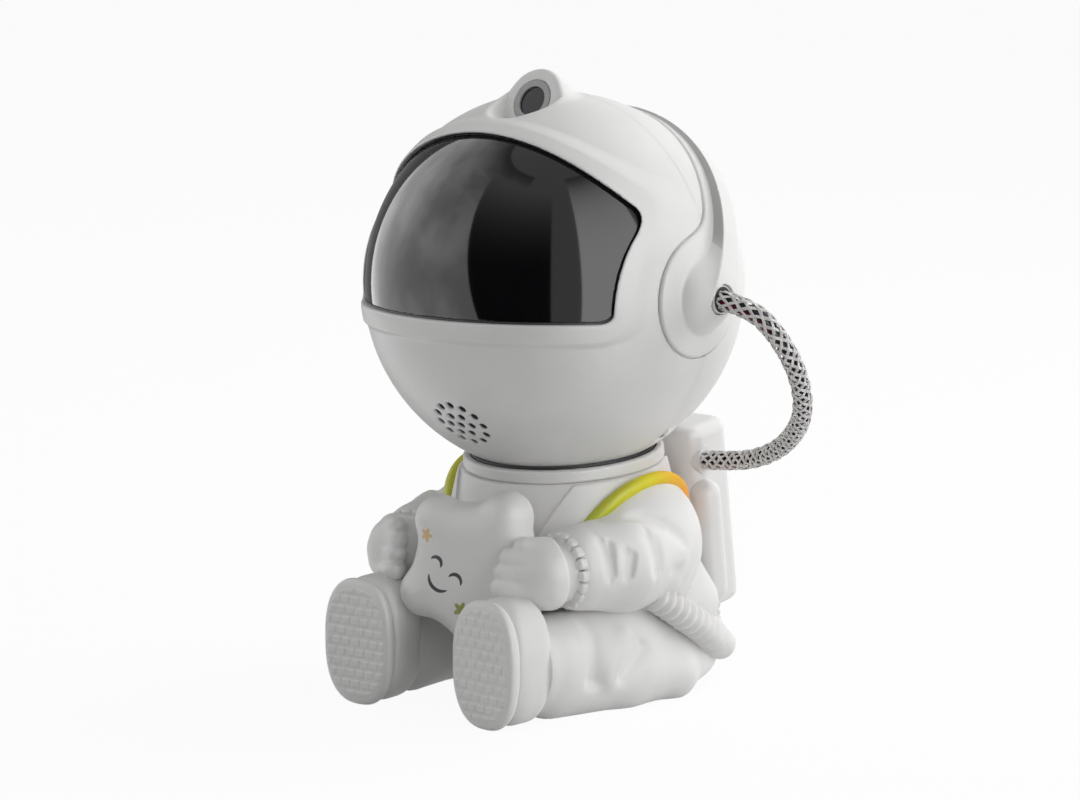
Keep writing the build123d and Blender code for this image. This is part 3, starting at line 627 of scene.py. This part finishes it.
def ear_band(p):
    v = away(p, head)
    r = size(v)
    flange = meet(band_outline(v, 0), r - ball_radius - 0.6, 0.9)
    across = np.abs(dot(v, band_axis)) - ridge_half
    lift = dot(v, band_up)
    ridge = meet(np.hypot(v[0], lift + ridge_drop) - ridge_radius, across, 0.5)
    ridge = meet(ridge, -lift, 6.0)
    dome = ball([np.abs(v[0]), v[1], v[2]], (53.3, 0, 0), ear_dome)
    raised = join(join(ridge, dome, 7.0), flange, 0.7)
    bed = np.maximum(raised, ball_radius - band_bed - r)
    return np.maximum(bed, -ear_hole(v))


def helmet_look(place):
    """White, with the walls of the speaker holes in shade."""
    looks = moulded(white, shell_gloss)(place)
    local = counted_from(place, head)
    inside = 1 - (local.along(local) ** 0.5).step(0.0590, 0.0597)
    near = local.along(vent_axis).step(0.056, 0.057)
    looks["Base Color"] = (inside * near).mix(looks["Base Color"], grey(0.10))
    return looks


helmet_white = material("helmet_white", helmet_look, IOR=plastic_ior)
sculpt("helmet_front", helmet_front, ["helmet_front_shell"], "head", helmet_white,
       shading=helmet_skin)
sculpt("helmet_rear", helmet_rear, ["helmet_rear_shell"], "head", shell_white,
       shading=helmet_skin)
sculpt("smoked_visor", visor_pane, ["visor"], "head", visor_smoke)
sculpt("visor_gasket", visor_seal, ["visor_seal"], "head", seal_black, step=0.4)


def band_look(place):
    """White, with painted shade on both side walls of the ridge, fading out lower down towards the ears."""
    looks = moulded(white, shell_gloss)(place)
    local = counted_from(place, head)
    reach = local.along(local) ** 0.5 * to_mm
    off = abs(local.along(band_axis) * to_mm)
    high = (local.along(band_up) * to_mm).step(9.0, 22.0)
    ridge_wall_shade = off.step(3.95, 4.05) * (1 - off.step(4.4, 4.5)) * reach.step(60.9, 61.2) * high
    # The ridge's side walls are painted mid grey as shade, so they read darker than the white round them.
    looks["Base Color"] = ridge_wall_shade.mix(looks["Base Color"], tone(0.46, 0.46, 0.455))
    return looks


band_white = material("band_white", band_look, IOR=plastic_ior)
sculpt("ear_to_ear_band", ear_band, ["ear_band"], "head", band_white, step=0.45)

# Suit: torso with chest straps
neck_axis = (0.0, -0.08716, 0.99619)
torso_y = 5.025
torso_foot = 1.2
torso_top = 57.657
torso_wall = 2.5
torso_outline = np.polyfit([torso_foot, 20.0, 50.0, 70.843], [33.0, 37.5, 36.5, 32.0], 3)
strap_lean = radians(23.6)
strap_place = (25.5, 60)
strap_half = 5.5
strap_foot = 40


def torso_side(p):
    return np.hypot(p[0], p[1] - torso_y) - np.polyval(torso_outline, p[2])


def torso(p):
    side = torso_side(p)
    out = np.abs(p[0]) - strap_place[0]
    up = p[2] - strap_place[1]
    slab = np.abs(out * cos(strap_lean) - up * sin(strap_lean)) - strap_half
    strap = meet(side - 1.2, np.maximum(slab, strap_foot - p[2]), 0.8)
    outside = join(side, strap, 0.7)
    waist = [np.abs(p[0]), p[1], p[2]]
    jacket = limb(waist, (26.5, 22.5, 42.0), (30.5, 27.0, 26.0), 9.0, 11.8)
    jacket = fold(jacket, waist, [(29.0, 13.0, 37.5), (36.0, 20.0, 36.0)], 0.9, 1.2)
    jacket = fold(jacket, waist, [(30.0, 14.0, 33.5), (37.5, 20.5, 32.5)], 0.7, 1.1)
    outside = join(outside, jacket, 2.5)
    top = dot(away(p, head), neck_axis) + torso_top
    shell = meet(outside, np.maximum(top, torso_foot - p[2]), 0.8)
    return np.maximum(shell, -(side + torso_wall))


sculpt_suit("torso_with_straps", torso, ["torso_shell", "left_strap", "right_strap"])

# Toy star in the lap, with a sleepy face and two small prints
star_origin = (6.3, -44.0, 44.15)
star_turn = radians(15.7)
star_lean = radians(5.0)
star_right = (cos(star_turn), sin(star_turn), 0.0)
star_front = (sin(star_turn) * cos(star_lean), -cos(star_turn) * cos(star_lean), sin(star_lean))
star_up = cross(star_front, star_right)
star_roll = 61.0
lobe_root = 16.8
lobe_tip = 8.0
lobe_length = 19.4
lobe_blend = 5.5
star_edge = 10.0
star_half = 9.0


def star_lobe(along, across):
    """A lobe that narrows from its root to its round tip."""
    lean = (lobe_root - lobe_tip) / lobe_length
    run = sqrt(1 - lean * lean)
    across = np.abs(across)
    place = run * along - lean * across
    tip = np.hypot(along - lobe_length, across) - lobe_tip
    side = run * across + lean * along - lobe_root
    root = np.hypot(along, across) - lobe_root
    return np.where(place < 0, root, np.where(place > run * lobe_length, tip, side))


def toy_star(p):
    v = away(p, star_origin)
    u = dot(v, star_right)
    h = dot(v, star_up)
    outline = None
    for i in range(5):
        turn = radians(star_roll + 72 * i)
        along = u * cos(turn) + h * sin(turn)
        lobe = star_lobe(along, h * cos(turn) - u * sin(turn))
        outline = lobe if outline is None else join(outline, lobe, lobe_blend)
    rounded = np.maximum(outline + star_edge, 0) / star_edge
    return (np.sqrt(rounded**2 + (dot(v, star_front) / star_half) ** 2) - 1) * star_half


def star_in_lap(p):
    return np.maximum(toy_star(p), -torso_side(p))


def arc_through(a, b, c):
    """Centre, radius, middle direction and reach of the arc a to c by way of b."""
    ax, ay = a[0] - c[0], a[1] - c[1]
    bx, by = b[0] - c[0], b[1] - c[1]
    twice = 2 * (ax * by - ay * bx)
    x = (by * (ax * ax + ay * ay) - ay * (bx * bx + by * by)) / twice
    y = (ax * (bx * bx + by * by) - bx * (ax * ax + ay * ay)) / twice
    radius = sqrt(x * x + y * y)
    middle = (c[0] + x, c[1] + y)
    chord = ((a[0] + c[0]) / 2 - middle[0], (a[1] + c[1]) / 2 - middle[1])
    way = unit(chord)
    if (b[0] - middle[0]) * way[0] + (b[1] - middle[1]) * way[1] < 0:
        way = (-way[0], -way[1])
    ends = (a[0] - middle[0]) * way[0] + (a[1] - middle[1]) * way[1]
    return middle, radius, way, ends


face_arcs = [
    ((-12.0, 3.0), (-9.9, 3.6), (-8.7, 0.6)),
    ((-5.7, -2.1), (-3.7, -1.2), (-1.7, -4.4)),
    ((-12.4, -1.6), (-10.7, -5.7), (-6.1, -6.2)),
]
stroke = 0.4
small_prints = [
    ((-14.1, 10.2), 2.3, tone(0.66, 0.45, 0.20)),
    ((-1.3, -11.9), 2.6, tone(0.27, 0.29, 0.06)),
]


def spot_star(u, h, place, radius):
    """Mask of a five-lobed print."""
    x = u - place[0]
    y = h - place[1]
    turn = x.math("ARCTAN2", y, x)
    off = (x * x + y * y) ** 0.5
    wave = turn * 5.0 + 0.6
    edge = wave.math("COSINE", wave) * (radius * 0.24) + radius * 0.76
    return (edge - off).step(-0.25, 0.25)


def star_look(place):
    looks = moulded(cloth_white, 0.48, *cloth_grain)(place)
    local = counted_from(place, star_origin)
    u = local.along(star_right) * to_mm
    h = local.along(star_up) * to_mm
    front = local.along(star_front).step(0.001, 0.002)
    color = looks["Base Color"]
    for spot, radius, tint in small_prints:
        color = (spot_star(u, h, spot, radius) * front).mix(color, tint)
    ink = None
    for points in face_arcs:
        middle, radius, way, ends = arc_through(*points)
        x = u - middle[0]
        y = h - middle[1]
        ring = abs((x * x + y * y) ** 0.5 - radius)
        reach = x * way[0] + y * way[1]
        share = ((reach - ends) / (radius - ends)).most(0.0)
        stem = (share ** 0.5 * (stroke * 1.5) - ring).step(-0.08, 0.08)
        line = stem * (reach - ends).step(0.0, 0.05)
        ink = line if ink is None else ink.most(line)
    looks["Base Color"] = (ink * front).mix(color, grey(0.018))
    return looks


star_finish = material("star_finish", star_look, IOR=plastic_ior)
sculpt("star_toy", star_in_lap, ["toy_star"], "body", star_finish)

# Legs, boots and soles
hip = (22.0, 28.0, 16.4)
knee = (27.8, -8.0, 16.6)
ankle = (27.5, -46.0, 17.5)
boot_place = (27.0, -45.5, 20.0)
boot_splay = radians(-3.6)
boot_front = (sin(boot_splay), -cos(boot_splay), 0.0)
boot_right = (cos(boot_splay), sin(boot_splay), 0.0)
boot_half = (13.0, 19.7)
boot_middle = 7.9
sole_half = (13.25, 20.0)
sole_middle = 17.6
tread_face = 19.65
row_pitch = 3.3
dash_pitch = 3.7
leg_radii = [16.1, 16.3, 13.5]
skirt_route = [(30.0, 33.0, 7.5), (41.5, 8.0, 7.6), (37.0, -12.0, 7.6), (29.5, -38.0, 7.4)]
skirt_radii = [7.2, 7.4, 7.3, 7.0]
crease_floor = 40.0


def run_of(p, route, radii, soft):
    """A limb through several places."""
    found = None
    for i in range(len(route) - 1):
        d = limb(p, route[i], route[i + 1], radii[i], radii[i + 1])
        found = d if found is None else join(found, d, soft)
    return found


def leg_form(p):
    upper = run_of(p, [hip, knee, ankle], leg_radii, 4.0)
    leg = join(upper, run_of(p, skirt_route, skirt_radii, 4.0), 9.0)
    outside = [0.5 * np.minimum(p[0] - crease_floor, 0.0), p[1], p[2]]
    leg = fold(leg, outside, [(0, -28.0, 30.0), (0, -31.0, 12.5)], 2.7, 3.1)
    leg = fold(leg, p, [(43.0, -17.5, 25.0), (44.5, -25.0, 11.0)], -1.4, 3.4)
    leg = fold(leg, outside, [(0, -10.5, 19.4), (0, -20.0, 11.5)], 1.6, 2.4)
    leg = fold(leg, p, [(46.0, -2.0, 19.0), (47.5, -9.0, 13.0)], -0.4, 5.0)
    leg = fold(leg, p, [(41.3, -40.0, 27.3), (43.0, -41.0, 14.0)], -0.6, 3.5)
    return np.maximum(leg, 0.1 - p[2])


def left_leg(p):
    leg = np.maximum(leg_form(p), -(torso_side(p) + 0.4))
    return np.maximum(leg, -(boot_form(p) + 1.2))


def oval(u, h, half_width, half_height):
    """A full oval between an ellipse and a box."""
    full = 2.5
    reach = (np.abs(u / half_width) ** full + np.abs(h / half_height) ** full) ** (1 / full)
    return (reach - 1) * (half_width + 2.0)


def boot_places(p):
    v = away(p, boot_place)
    return dot(v, boot_right), v[2], dot(v, boot_front)


def boot_form(p):
    u, h, w = boot_places(p)
    upper = meet(oval(u, h, *boot_half), np.abs(w - boot_middle) - boot_middle, 6.0)
    upper = meet(upper, w - 15.5, 1.2)
    return np.maximum(upper, 0.1 - p[2])


def boot_sole(p):
    u, h, w = boot_places(p)
    outline = oval(u, h, *sole_half)
    slab = meet(outline, np.abs(w - sole_middle) - 2.3, 2.8)
    row = np.floor(h / row_pitch + 0.5)
    brick = u + dash_pitch / 2 * (row % 2)
    dash_u = np.abs(brick - dash_pitch * np.floor(brick / dash_pitch + 0.5)) - dash_pitch * 0.38
    dash_h = np.abs(h - row_pitch * row) - row_pitch * 0.3
    dash = meet(dash_u, dash_h, 0.6)
    tread = meet(np.maximum(dash, outline + 2.4), np.abs(w - tread_face) - 0.5, 0.4)
    return np.maximum(join(slab, tread, 0.5), 0.05 - p[2])


left_right = [("left", lambda shape: shape), ("right", mirrored)]
for side, turned in left_right:
    sculpt_suit(f"{side}_trouser_leg", turned(left_leg), [f"{side}_leg"])
    sculpt_suit(f"{side}_boot_upper", turned(boot_form), [f"{side}_boot"])
    sculpt_suit(f"{side}_boot_sole", turned(boot_sole), [f"{side}_sole"], 0.3)

# Sleeves, cuffs and hands
shoulder = (22.7, 6.0, 46.6)
shoulder_radius = 25.5
trim_axis = (0.85990, 0.0, -0.51053)
sleeve_route = [(36.5, 2.5, 44.0), (35.2, -11.0, 44.8), (32.2, -26.5, 45.2)]
sleeve_radii = [13.8, 15.3, 13.2]
wrist = (31.4, -29.6, 45.2)
palm = (28.6, -40.0, 44.4)
cuff_axis = unit([b - a for a, b in zip(wrist, palm)])
cuff_side = unit(cross(cuff_axis, (0, 0, 1)))
cuff_rise = cross(cuff_side, cuff_axis)
bead_count = 18
bead_ring = 10.4
bead_arc = 10.8
bead_place = 2.4
bead_half = 0.75
bead_round = 0.95
cuff_radius = 9.5
cuff_bore = 5.5
hand_start = 8.3
star_gap = 0.6
finger_lines = [
    ((34.0, -38.4, 52.6), (26.0, -45.5, 53.8), 3.2),
    ((35.0, -41.0, 49.2), (23.1, -48.6, 50.4), 3.3),
    ((35.2, -42.2, 45.0), (22.2, -50.1, 46.0), 3.4),
    ((35.0, -42.4, 40.6), (22.0, -51.2, 41.4), 3.5),
]


def sleeve_form(p):
    upper = ball(p, shoulder, shoulder_radius)
    upper = meet(upper, -dot(away(p, shoulder), trim_axis) - 0.5, 1.5)
    lower = run_of(p, sleeve_route, sleeve_radii, 2.0)
    arm = join(upper, lower, 1.5)
    over_elbow = [(33.7, -18.2, 59.6), (38.6, -13.5, 60.2), (41.6, -6.4, 59.5), (44.9, -1.5, 57.1)]
    arm = fold(arm, p, over_elbow, 1.9, 1.8)
    arm = fold(arm, p, [(43.1, -25.9, 53.6), (45.1, -26.9, 49.4), (45.9, -26.9, 44.8)], 2.8, 1.7, 1.9, 0.6)
    arm = fold(arm, p, [(43.0, -27.5, 41.0), (44.6, -23.9, 50.0)], -0.5, 2.2)
    arm = fold(arm, p, [(47.6, -19.8, 49.9), (47.9, -21.2, 43.9)], 1.8, 1.6, 1.6, 0.7)
    arm = fold(arm, p, [(48.6, -9.3, 53.0), (51.0, -10.2, 44.7)], 3.0, 2.2, 2.0, 0.6)
    arm = fold(arm, p, [(51.1, 9.3, 43.9), (50.9, 5.1, 38.9)], 2.2, 2.6)
    arm = fold(arm, p, [(46.8, 1.0, 54.8), (49.0, 4.8, 51.3)], 1.4, 2.2)
    return fold(arm, p, [(51.0, -1.3, 42.4), (50.9, 10.0, 41.5)], 1.2, 1.9)


def cuff_places(p):
    v = away(p, wrist)
    return dot(v, cuff_side), dot(v, cuff_rise), dot(v, cuff_axis)


def cuff(p):
    a, b, w = cuff_places(p)
    rho = np.hypot(a, b)
    spacing = 2 * pi / bead_count
    turn = np.arctan2(b, a) / spacing
    arc = (turn - np.floor(turn + 0.5)) * spacing * bead_arc
    across = np.maximum(np.abs(arc) - bead_half, 0)
    length = np.maximum(np.abs(w - bead_place) - bead_half, 0)
    outward = np.maximum(np.abs(rho - bead_ring) - 0.7, 0)
    bead = np.sqrt(across**2 + length**2 + outward**2) - bead_round
    core = np.maximum(rho - cuff_radius, np.abs(w - 4.2) - 5.2)
    return np.maximum(join(bead, core, 0.5), cuff_bore - rho)


def hand_form(p):
    back = limb(p, (31.0, -34.5, 45.0), (29.6, -38.6, 45.0), 11.3, 11.4)
    fingers = None
    for root, tip, radius in finger_lines:
        finger = limb(p, root, tip, radius + 0.4, radius)
        fingers = finger if fingers is None else join(fingers, finger, 0.8)
    hand = join(back, fingers, 1.8)
    return meet(hand, hand_start - cuff_places(p)[2], 1.6)


def left_hand(p):
    return np.maximum(hand_form(p), -(star_in_lap(p) + star_gap))


def right_hand(p):
    hand = mirrored(hand_form)(p)
    hand = fold(hand, p, [(-29.4, -51.5, 51.9), (-23.0, -51.1, 51.3), (-18.7, -48.5, 49.7)], 0.9, 1.5)
    hand = fold(hand, p, [(-29.0, -53.9, 45.5), (-22.3, -52.8, 45.0), (-18.4, -49.8, 44.4)], 0.8, 1.5)
    return np.maximum(hand, -(star_in_lap(p) + star_gap))


def left_sleeve(p):
    sleeve = np.maximum(sleeve_form(p), -(torso_side(p) + 0.4))
    return np.maximum(sleeve, -(leg_form(p) + 0.3))


hands = {"left": left_hand, "right": right_hand}
for side, turned in left_right:
    sculpt_suit(f"{side}_arm_sleeve", turned(left_sleeve), [f"{side}_sleeve"])
    sculpt_suit(f"{side}_gathered_cuff", turned(cuff), [f"{side}_cuff"], 0.35)
    sculpt_suit(f"{side}_gloved_hand", hands[side], [f"{side}_hand"], 0.4)


# Lines that the cable and the hose follow, as smooth curves through their route's control points
def route_line(name, route):
    curve = bpy.data.curves.new(name, "CURVE")
    curve.dimensions = "3D"
    spline = curve.splines.new("NURBS")
    spline.points.add(len(route) - 1)
    for point, place in zip(spline.points, route):
        point.co = (*[value * mm for value in place], 1.0)
    spline.order_u = 3
    spline.use_endpoint_u = True
    spline.resolution_u = 24
    holder = bpy.data.objects.new(name, curve)
    bpy.context.collection.objects.link(holder)
    bpy.context.view_layer.update()
    line = bpy.data.meshes.new_from_object(holder)
    points = np.array([vertex.co for vertex in line.vertices]) / mm
    bpy.data.objects.remove(holder)
    bpy.data.meshes.remove(line)
    bpy.data.curves.remove(curve)
    return points


def run_lengths(points):
    """How far along a line each of its points is."""
    return np.concatenate([[0], np.cumsum(np.linalg.norm(np.diff(points, axis=0), axis=1))])


def along_line(points, places):
    """Points at those lengths along a line, with two directions across it that don't twist."""
    lengths = run_lengths(points)
    spots = np.stack([np.interp(places, lengths, points[:, i]) for i in range(3)], axis=1)
    ways = np.gradient(spots, axis=0)
    ways /= np.linalg.norm(ways, axis=1)[:, None]
    across = np.zeros_like(ways)
    side = np.cross(ways[0], (0.0, 0.0, 1.0))
    for i, way in enumerate(ways):
        side = side - way * np.dot(side, way)
        side /= np.linalg.norm(side)
        across[i] = side
    return spots, across, np.cross(ways, across)


def tube_faces(rings, around, first):
    faces = []
    for i in range(rings - 1):
        for j in range(around):
            k = (j + 1) % around
            faces.append([first + i * around + j, first + i * around + k,
                          first + (i + 1) * around + k, first + (i + 1) * around + j])
    return faces


cable_route = [
    (65.5, 0.0, 128.5), (76.8, 1.2, 126.6), (82.6, 5.8, 119.0), (83.8, 13.4, 109.0), (82.0, 20.5, 99.5),
    (77.5, 27.0, 90.5), (70.0, 32.5, 83.0), (61.0, 37.0, 77.0), (50.5, 40.5, 72.5), (39.5, 42.5, 70.0),
    (26.6, 43.0, 69.0),
]
strand_count = 6
lay_places = (0.0, 0.15, 0.35, 0.55, 0.7, 0.85, 1.0)
lay_lengths = (27.0, 24.0, 19.0, 15.0, 15.5, 19.0, 23.0)
strand_radius = 2.85
weave_depth = 0.22
filament_radius = 0.2
filament_spacing = 0.37
inner_wires = ((1, 0.9), (2, 3.0), (3, 5.1))
wire_ring = 1.15
wire_radius = 1.05
wire_lay = 160.0


def strands_look(place):
    fibre = place.noise(2400.0, 3.0)
    return {
        "Base Color": fibre.step(0.3, 0.7).mix(tone(0.64, 0.63, 0.62), tone(0.88, 0.87, 0.86)),
        "Roughness": fibre * 0.2 + 0.4,
    }


def wire_look(color):
    def build(place):
        drift = place.noise(700.0)
        return {"Base Color": drift.mix(darkened(color, 0.7), color), "Roughness": drift * 0.1 + 0.35}

    return build


strand_grey = material("strand_grey", strands_look, Sheen_Weight=0.2)
wire_red = material("wire_red", wire_look(tone(0.24, 0.004, 0.015)))
wire_navy = material("wire_navy", wire_look(tone(0.012, 0.010, 0.045)))
wire_dark = material("wire_dark", wire_look(grey(0.008)))


def ear_bush_look(place):
    """White with a black mouth round the cable."""
    looks = moulded(white, 0.5)(place)
    across = place.along((0.0, 1.0, 0.0))
    up = place.along((0.0, 0.0, 1.0)) - head[2] * mm
    off = (across ** 2.0 + up ** 2.0) ** 0.5
    looks["Base Color"] = off.step(0.0039, 0.0041).mix(grey(0.012), looks["Base Color"])
    return looks


finish_node("ear_cable_bush", material("ear_bush_white", ear_bush_look))
finish_node("pack_cable_bush", shell_white)


def braided_cable():
    line = route_line("cable_line", cable_route)
    total = run_lengths(line)[-1]
    samples = 520
    places = np.linspace(0, total, samples)
    spots, across, upward = along_line(line, places)
    lays = np.interp(places / total, lay_places, lay_lengths)
    turns_made = np.concatenate([[0], np.cumsum(np.diff(places) * 2 / (lays[1:] + lays[:-1]))])
    points = []
    faces = []
    marks = []

    def tube(angles, radii, thickness, around, mark):
        """A strand that winds round the line."""
        out = np.cos(angles)[:, None] * across + np.sin(angles)[:, None] * upward
        middle = spots + radii[:, None] * out
        ways = np.gradient(middle, axis=0)
        ways /= np.linalg.norm(ways, axis=1)[:, None]
        out -= ways * (out * ways).sum(axis=1)[:, None]
        out /= np.linalg.norm(out, axis=1)[:, None]
        flat = np.cross(ways, out)
        first = sum(len(block) for block in points)
        turns = [2 * pi * (j + 0.5) / around for j in range(around)]
        ring = np.stack([middle + thickness * (cos(t) * out + sin(t) * flat) for t in turns], axis=1)
        points.append(ring.reshape(-1, 3))
        faces.extend(tube_faces(samples, around, first))
        marks.extend([mark] * ((samples - 1) * around))

    for way in (-1, 1):
        for strand in range(strand_count):
            phase = 2 * pi * strand / strand_count
            for lane in (-1, 0, 1):
                angles = phase + way * 2 * pi * turns_made + lane * filament_spacing / strand_radius
                weave = np.cos(strand_count * way * (angles - phase) + pi * strand + (0 if way > 0 else pi))
                radii = strand_radius + weave_depth * weave
                tube(angles, radii, filament_radius, 4, 0)
    for mark, turn in inner_wires:
        angles = turn + 2 * pi * places / wire_lay
        tube(angles, np.full(samples, wire_ring), wire_radius, 8, mark)
    finish = [strand_grey, wire_red, wire_navy, wire_dark]
    cable = dress("braided_cable_sleeve", np.concatenate(points), faces, None, finish,
                  ["braided_cable"])
    cable.data.polygons.foreach_set("material_index", marks)
    path = [tuple(spot * mm) for spot in spots[::4]] + [tuple(spots[-1] * mm)]
    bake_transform(cable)


braided_cable()

hose_route = [
    (42.5, -3.0, 34.5), (45.0, 9.6, 26.4), (44.8, 20.0, 19.8), (43.0, 28.5, 14.6), (38.0, 38.5, 10.6),
    (28.0, 46.5, 11.0), (20.5, 51.5, 15.0), (19.0, 54.5, 20.5),
]
hose_radius = 3.5
hose_bore = 3.0
rib_height = 1.6
rib_fullness = 0.6
rib_pitch = 3.3
rib_steps = 12
plain_ends = 4.0


def ribbed_hose():
    line = route_line("hose_line", hose_route)
    total = run_lengths(line)[-1]
    count = round((total - plain_ends) / rib_pitch)
    samples = count * rib_steps + 1
    places = np.linspace(0, total, samples)
    spots, across, upward = along_line(line, places)
    rib = 0.5 - 0.5 * np.cos(2 * pi * np.arange(samples) / rib_steps)
    outer = hose_radius + rib_height * rib**rib_fullness
    around = 40
    points = []
    for radii in (outer, np.full(samples, hose_bore)):
        for j in range(around):
            turn = 2 * pi * j / around
            points.append(spots + radii[:, None] * (cos(turn) * across + sin(turn) * upward))
    rings = np.stack(points, axis=0).reshape(2, around, samples, 3).transpose(0, 2, 1, 3)
    faces = tube_faces(samples, around, 0)
    inside = [face[::-1] for face in tube_faces(samples, around, samples * around)]
    for i, flip in ((0, 1), (samples - 1, -1)):
        for j in range(around):
            k = (j + 1) % around
            first = i * around
            second = samples * around + i * around
            faces.append([first + j, second + j, second + k, first + k][::flip])
    dress("ribbed_hip_hose", rings.reshape(-1, 3), faces + inside, "body", suit_white,
          ["ribbed_hose"])


ribbed_hose()

# Plain pale floor and soft studio light
scene = bpy.context.scene
scene.view_settings.view_transform = "Standard"
plain_white = tone(1, 1, 1)
ambient = 0.36
floor_bounce = 0.65
floor_pale = 0.95
floor_glow = 0.94
lamp_aim = Vector((0, 0, 0.1))


def seen_directly(start):
    """1 where the camera, gloss or glass looks, 0 for the light that falls on things."""
    names = ("Is Camera Ray", "Is Glossy Ray", "Is Transmission Ray")
    rays = [start.node("LightPath", out=name) for name in names]
    return (rays[0] + rays[1] + rays[2]).least(1.0)


def light_world():
    world = bpy.data.worlds.new("studio")
    scene.world = world
    start = emptied(world)
    seen = seen_directly(start)
    soft = start.node("Background", None, {"Color": plain_white, "Strength": ambient})
    plain = start.node("Background", None, {"Color": plain_white, "Strength": 1.0})
    shader = start.node("MixShader", None, {0: seen, 1: soft, 2: plain})
    start.node("OutputWorld", None, {"Surface": shader})


def lay_floor():
    half = 4.0
    mesh = bpy.data.meshes.new("floor")
    corners = [(-half, -half, 0), (half, -half, 0), (half, half, 0), (-half, half, 0)]
    mesh.from_pydata(corners, [], [[0, 1, 2, 3]])
    floor = bpy.data.objects.new("floor", mesh)
    bpy.context.collection.objects.link(floor)
    look = bpy.data.materials.new("floor_white")
    start = emptied(look)
    bounce = start.node("BsdfDiffuse", None, {"Color": grey(floor_bounce)})
    pale = start.node("BsdfDiffuse", None, {"Color": grey(floor_pale)})
    glow = start.node("Emission", None, {"Color": plain_white, "Strength": 1.0})
    sheet = start.node("MixShader", None, {0: floor_glow, 1: pale, 2: glow})
    shader = start.node("MixShader", None, {0: seen_directly(start), 1: bounce, 2: sheet})
    start.node("OutputMaterial", None, {"Surface": shader})
    mesh.materials.append(look)
    floor.visible_glossy = False


def add_lamp(name, turn, rise, distance, width, power):
    """A round lamp aimed at the figure, turned from its front towards its left and raised, in degrees."""
    turn = radians(turn)
    rise = radians(rise)
    data = bpy.data.lights.new(name, "AREA")
    data.shape = "DISK"
    data.size = width
    data.energy = power
    lamp = bpy.data.objects.new(name, data)
    way = Vector((sin(turn) * cos(rise), -cos(turn) * cos(rise), sin(rise)))
    lamp.location = lamp_aim + way * distance
    lamp.rotation_euler = way.to_track_quat("Z", "Y").to_euler()
    lamp.visible_glossy = False
    bpy.context.collection.objects.link(lamp)


def add_card(name, turn_low, turn_high, high, distance, strength, tones=(1.0, 0.1), slant=0.0, mottle=0.0):
    """A curved card that only gloss can see, turned from the camera's side. Its low edge may slant."""
    columns = 12
    rows = 10
    low = -1.2
    points = []
    for i in range(columns + 1):
        for j in range(rows + 1):
            z = low + (high - low) * j / rows
            edge = turn_low + slant * z
            turn = camera_turn + radians(edge + (turn_high - edge) * i / columns)
            points.append((distance * sin(turn), -distance * cos(turn), z))
    faces = []
    for i in range(columns):
        for j in range(rows):
            first = i * (rows + 1) + j
            faces.append([first, first + rows + 1, first + rows + 2, first + 1])
    mesh = bpy.data.meshes.new(name)
    mesh.from_pydata(points, [], faces)
    card = bpy.data.objects.new(name, mesh)
    bpy.context.collection.objects.link(card)
    look = bpy.data.materials.new(name)
    start = emptied(look)
    place = start.node("TexCoord", out="Object")
    below, above = [grey(value) for value in tones]
    shade = grey(tones[0] * (1 - mottle))
    cloud = place.noise(1.6, 3.0).step(0.35, 0.65).mix(shade, below)
    fade = place.along((0.0, 0.0, 1.0)).step(0.3, high).mix(cloud, above)
    glow = start.node("Emission", None, {"Color": fade, "Strength": strength})
    start.node("OutputMaterial", None, {"Surface": glow})
    mesh.materials.append(look)
    card.visible_camera = False
    card.visible_diffuse = False
    card.visible_shadow = False
    card.visible_transmission = False


light_world()
lay_floor()
add_lamp("side_lamp", 90, 10, 1.4, 1.0, 3.8)
add_lamp("rear_side_lamp", 138, 14, 1.3, 0.7, 5.0)
add_lamp("back_lamp", 160, 54, 1.4, 0.8, 8.0)
add_card("edge_flag", -180, -145, 3.0, 1.0, 0.25)
add_card("left_panel", -145, -30, 3.0, 1.0, 3.4, mottle=0.4)
add_card("black_flag", -48, -2, 2.0, 0.95, 1.0, tones=(0.0, 1.0), slant=-16.0)
add_card("right_panel", 16, 60, 3.0, 1.0, 5.0)
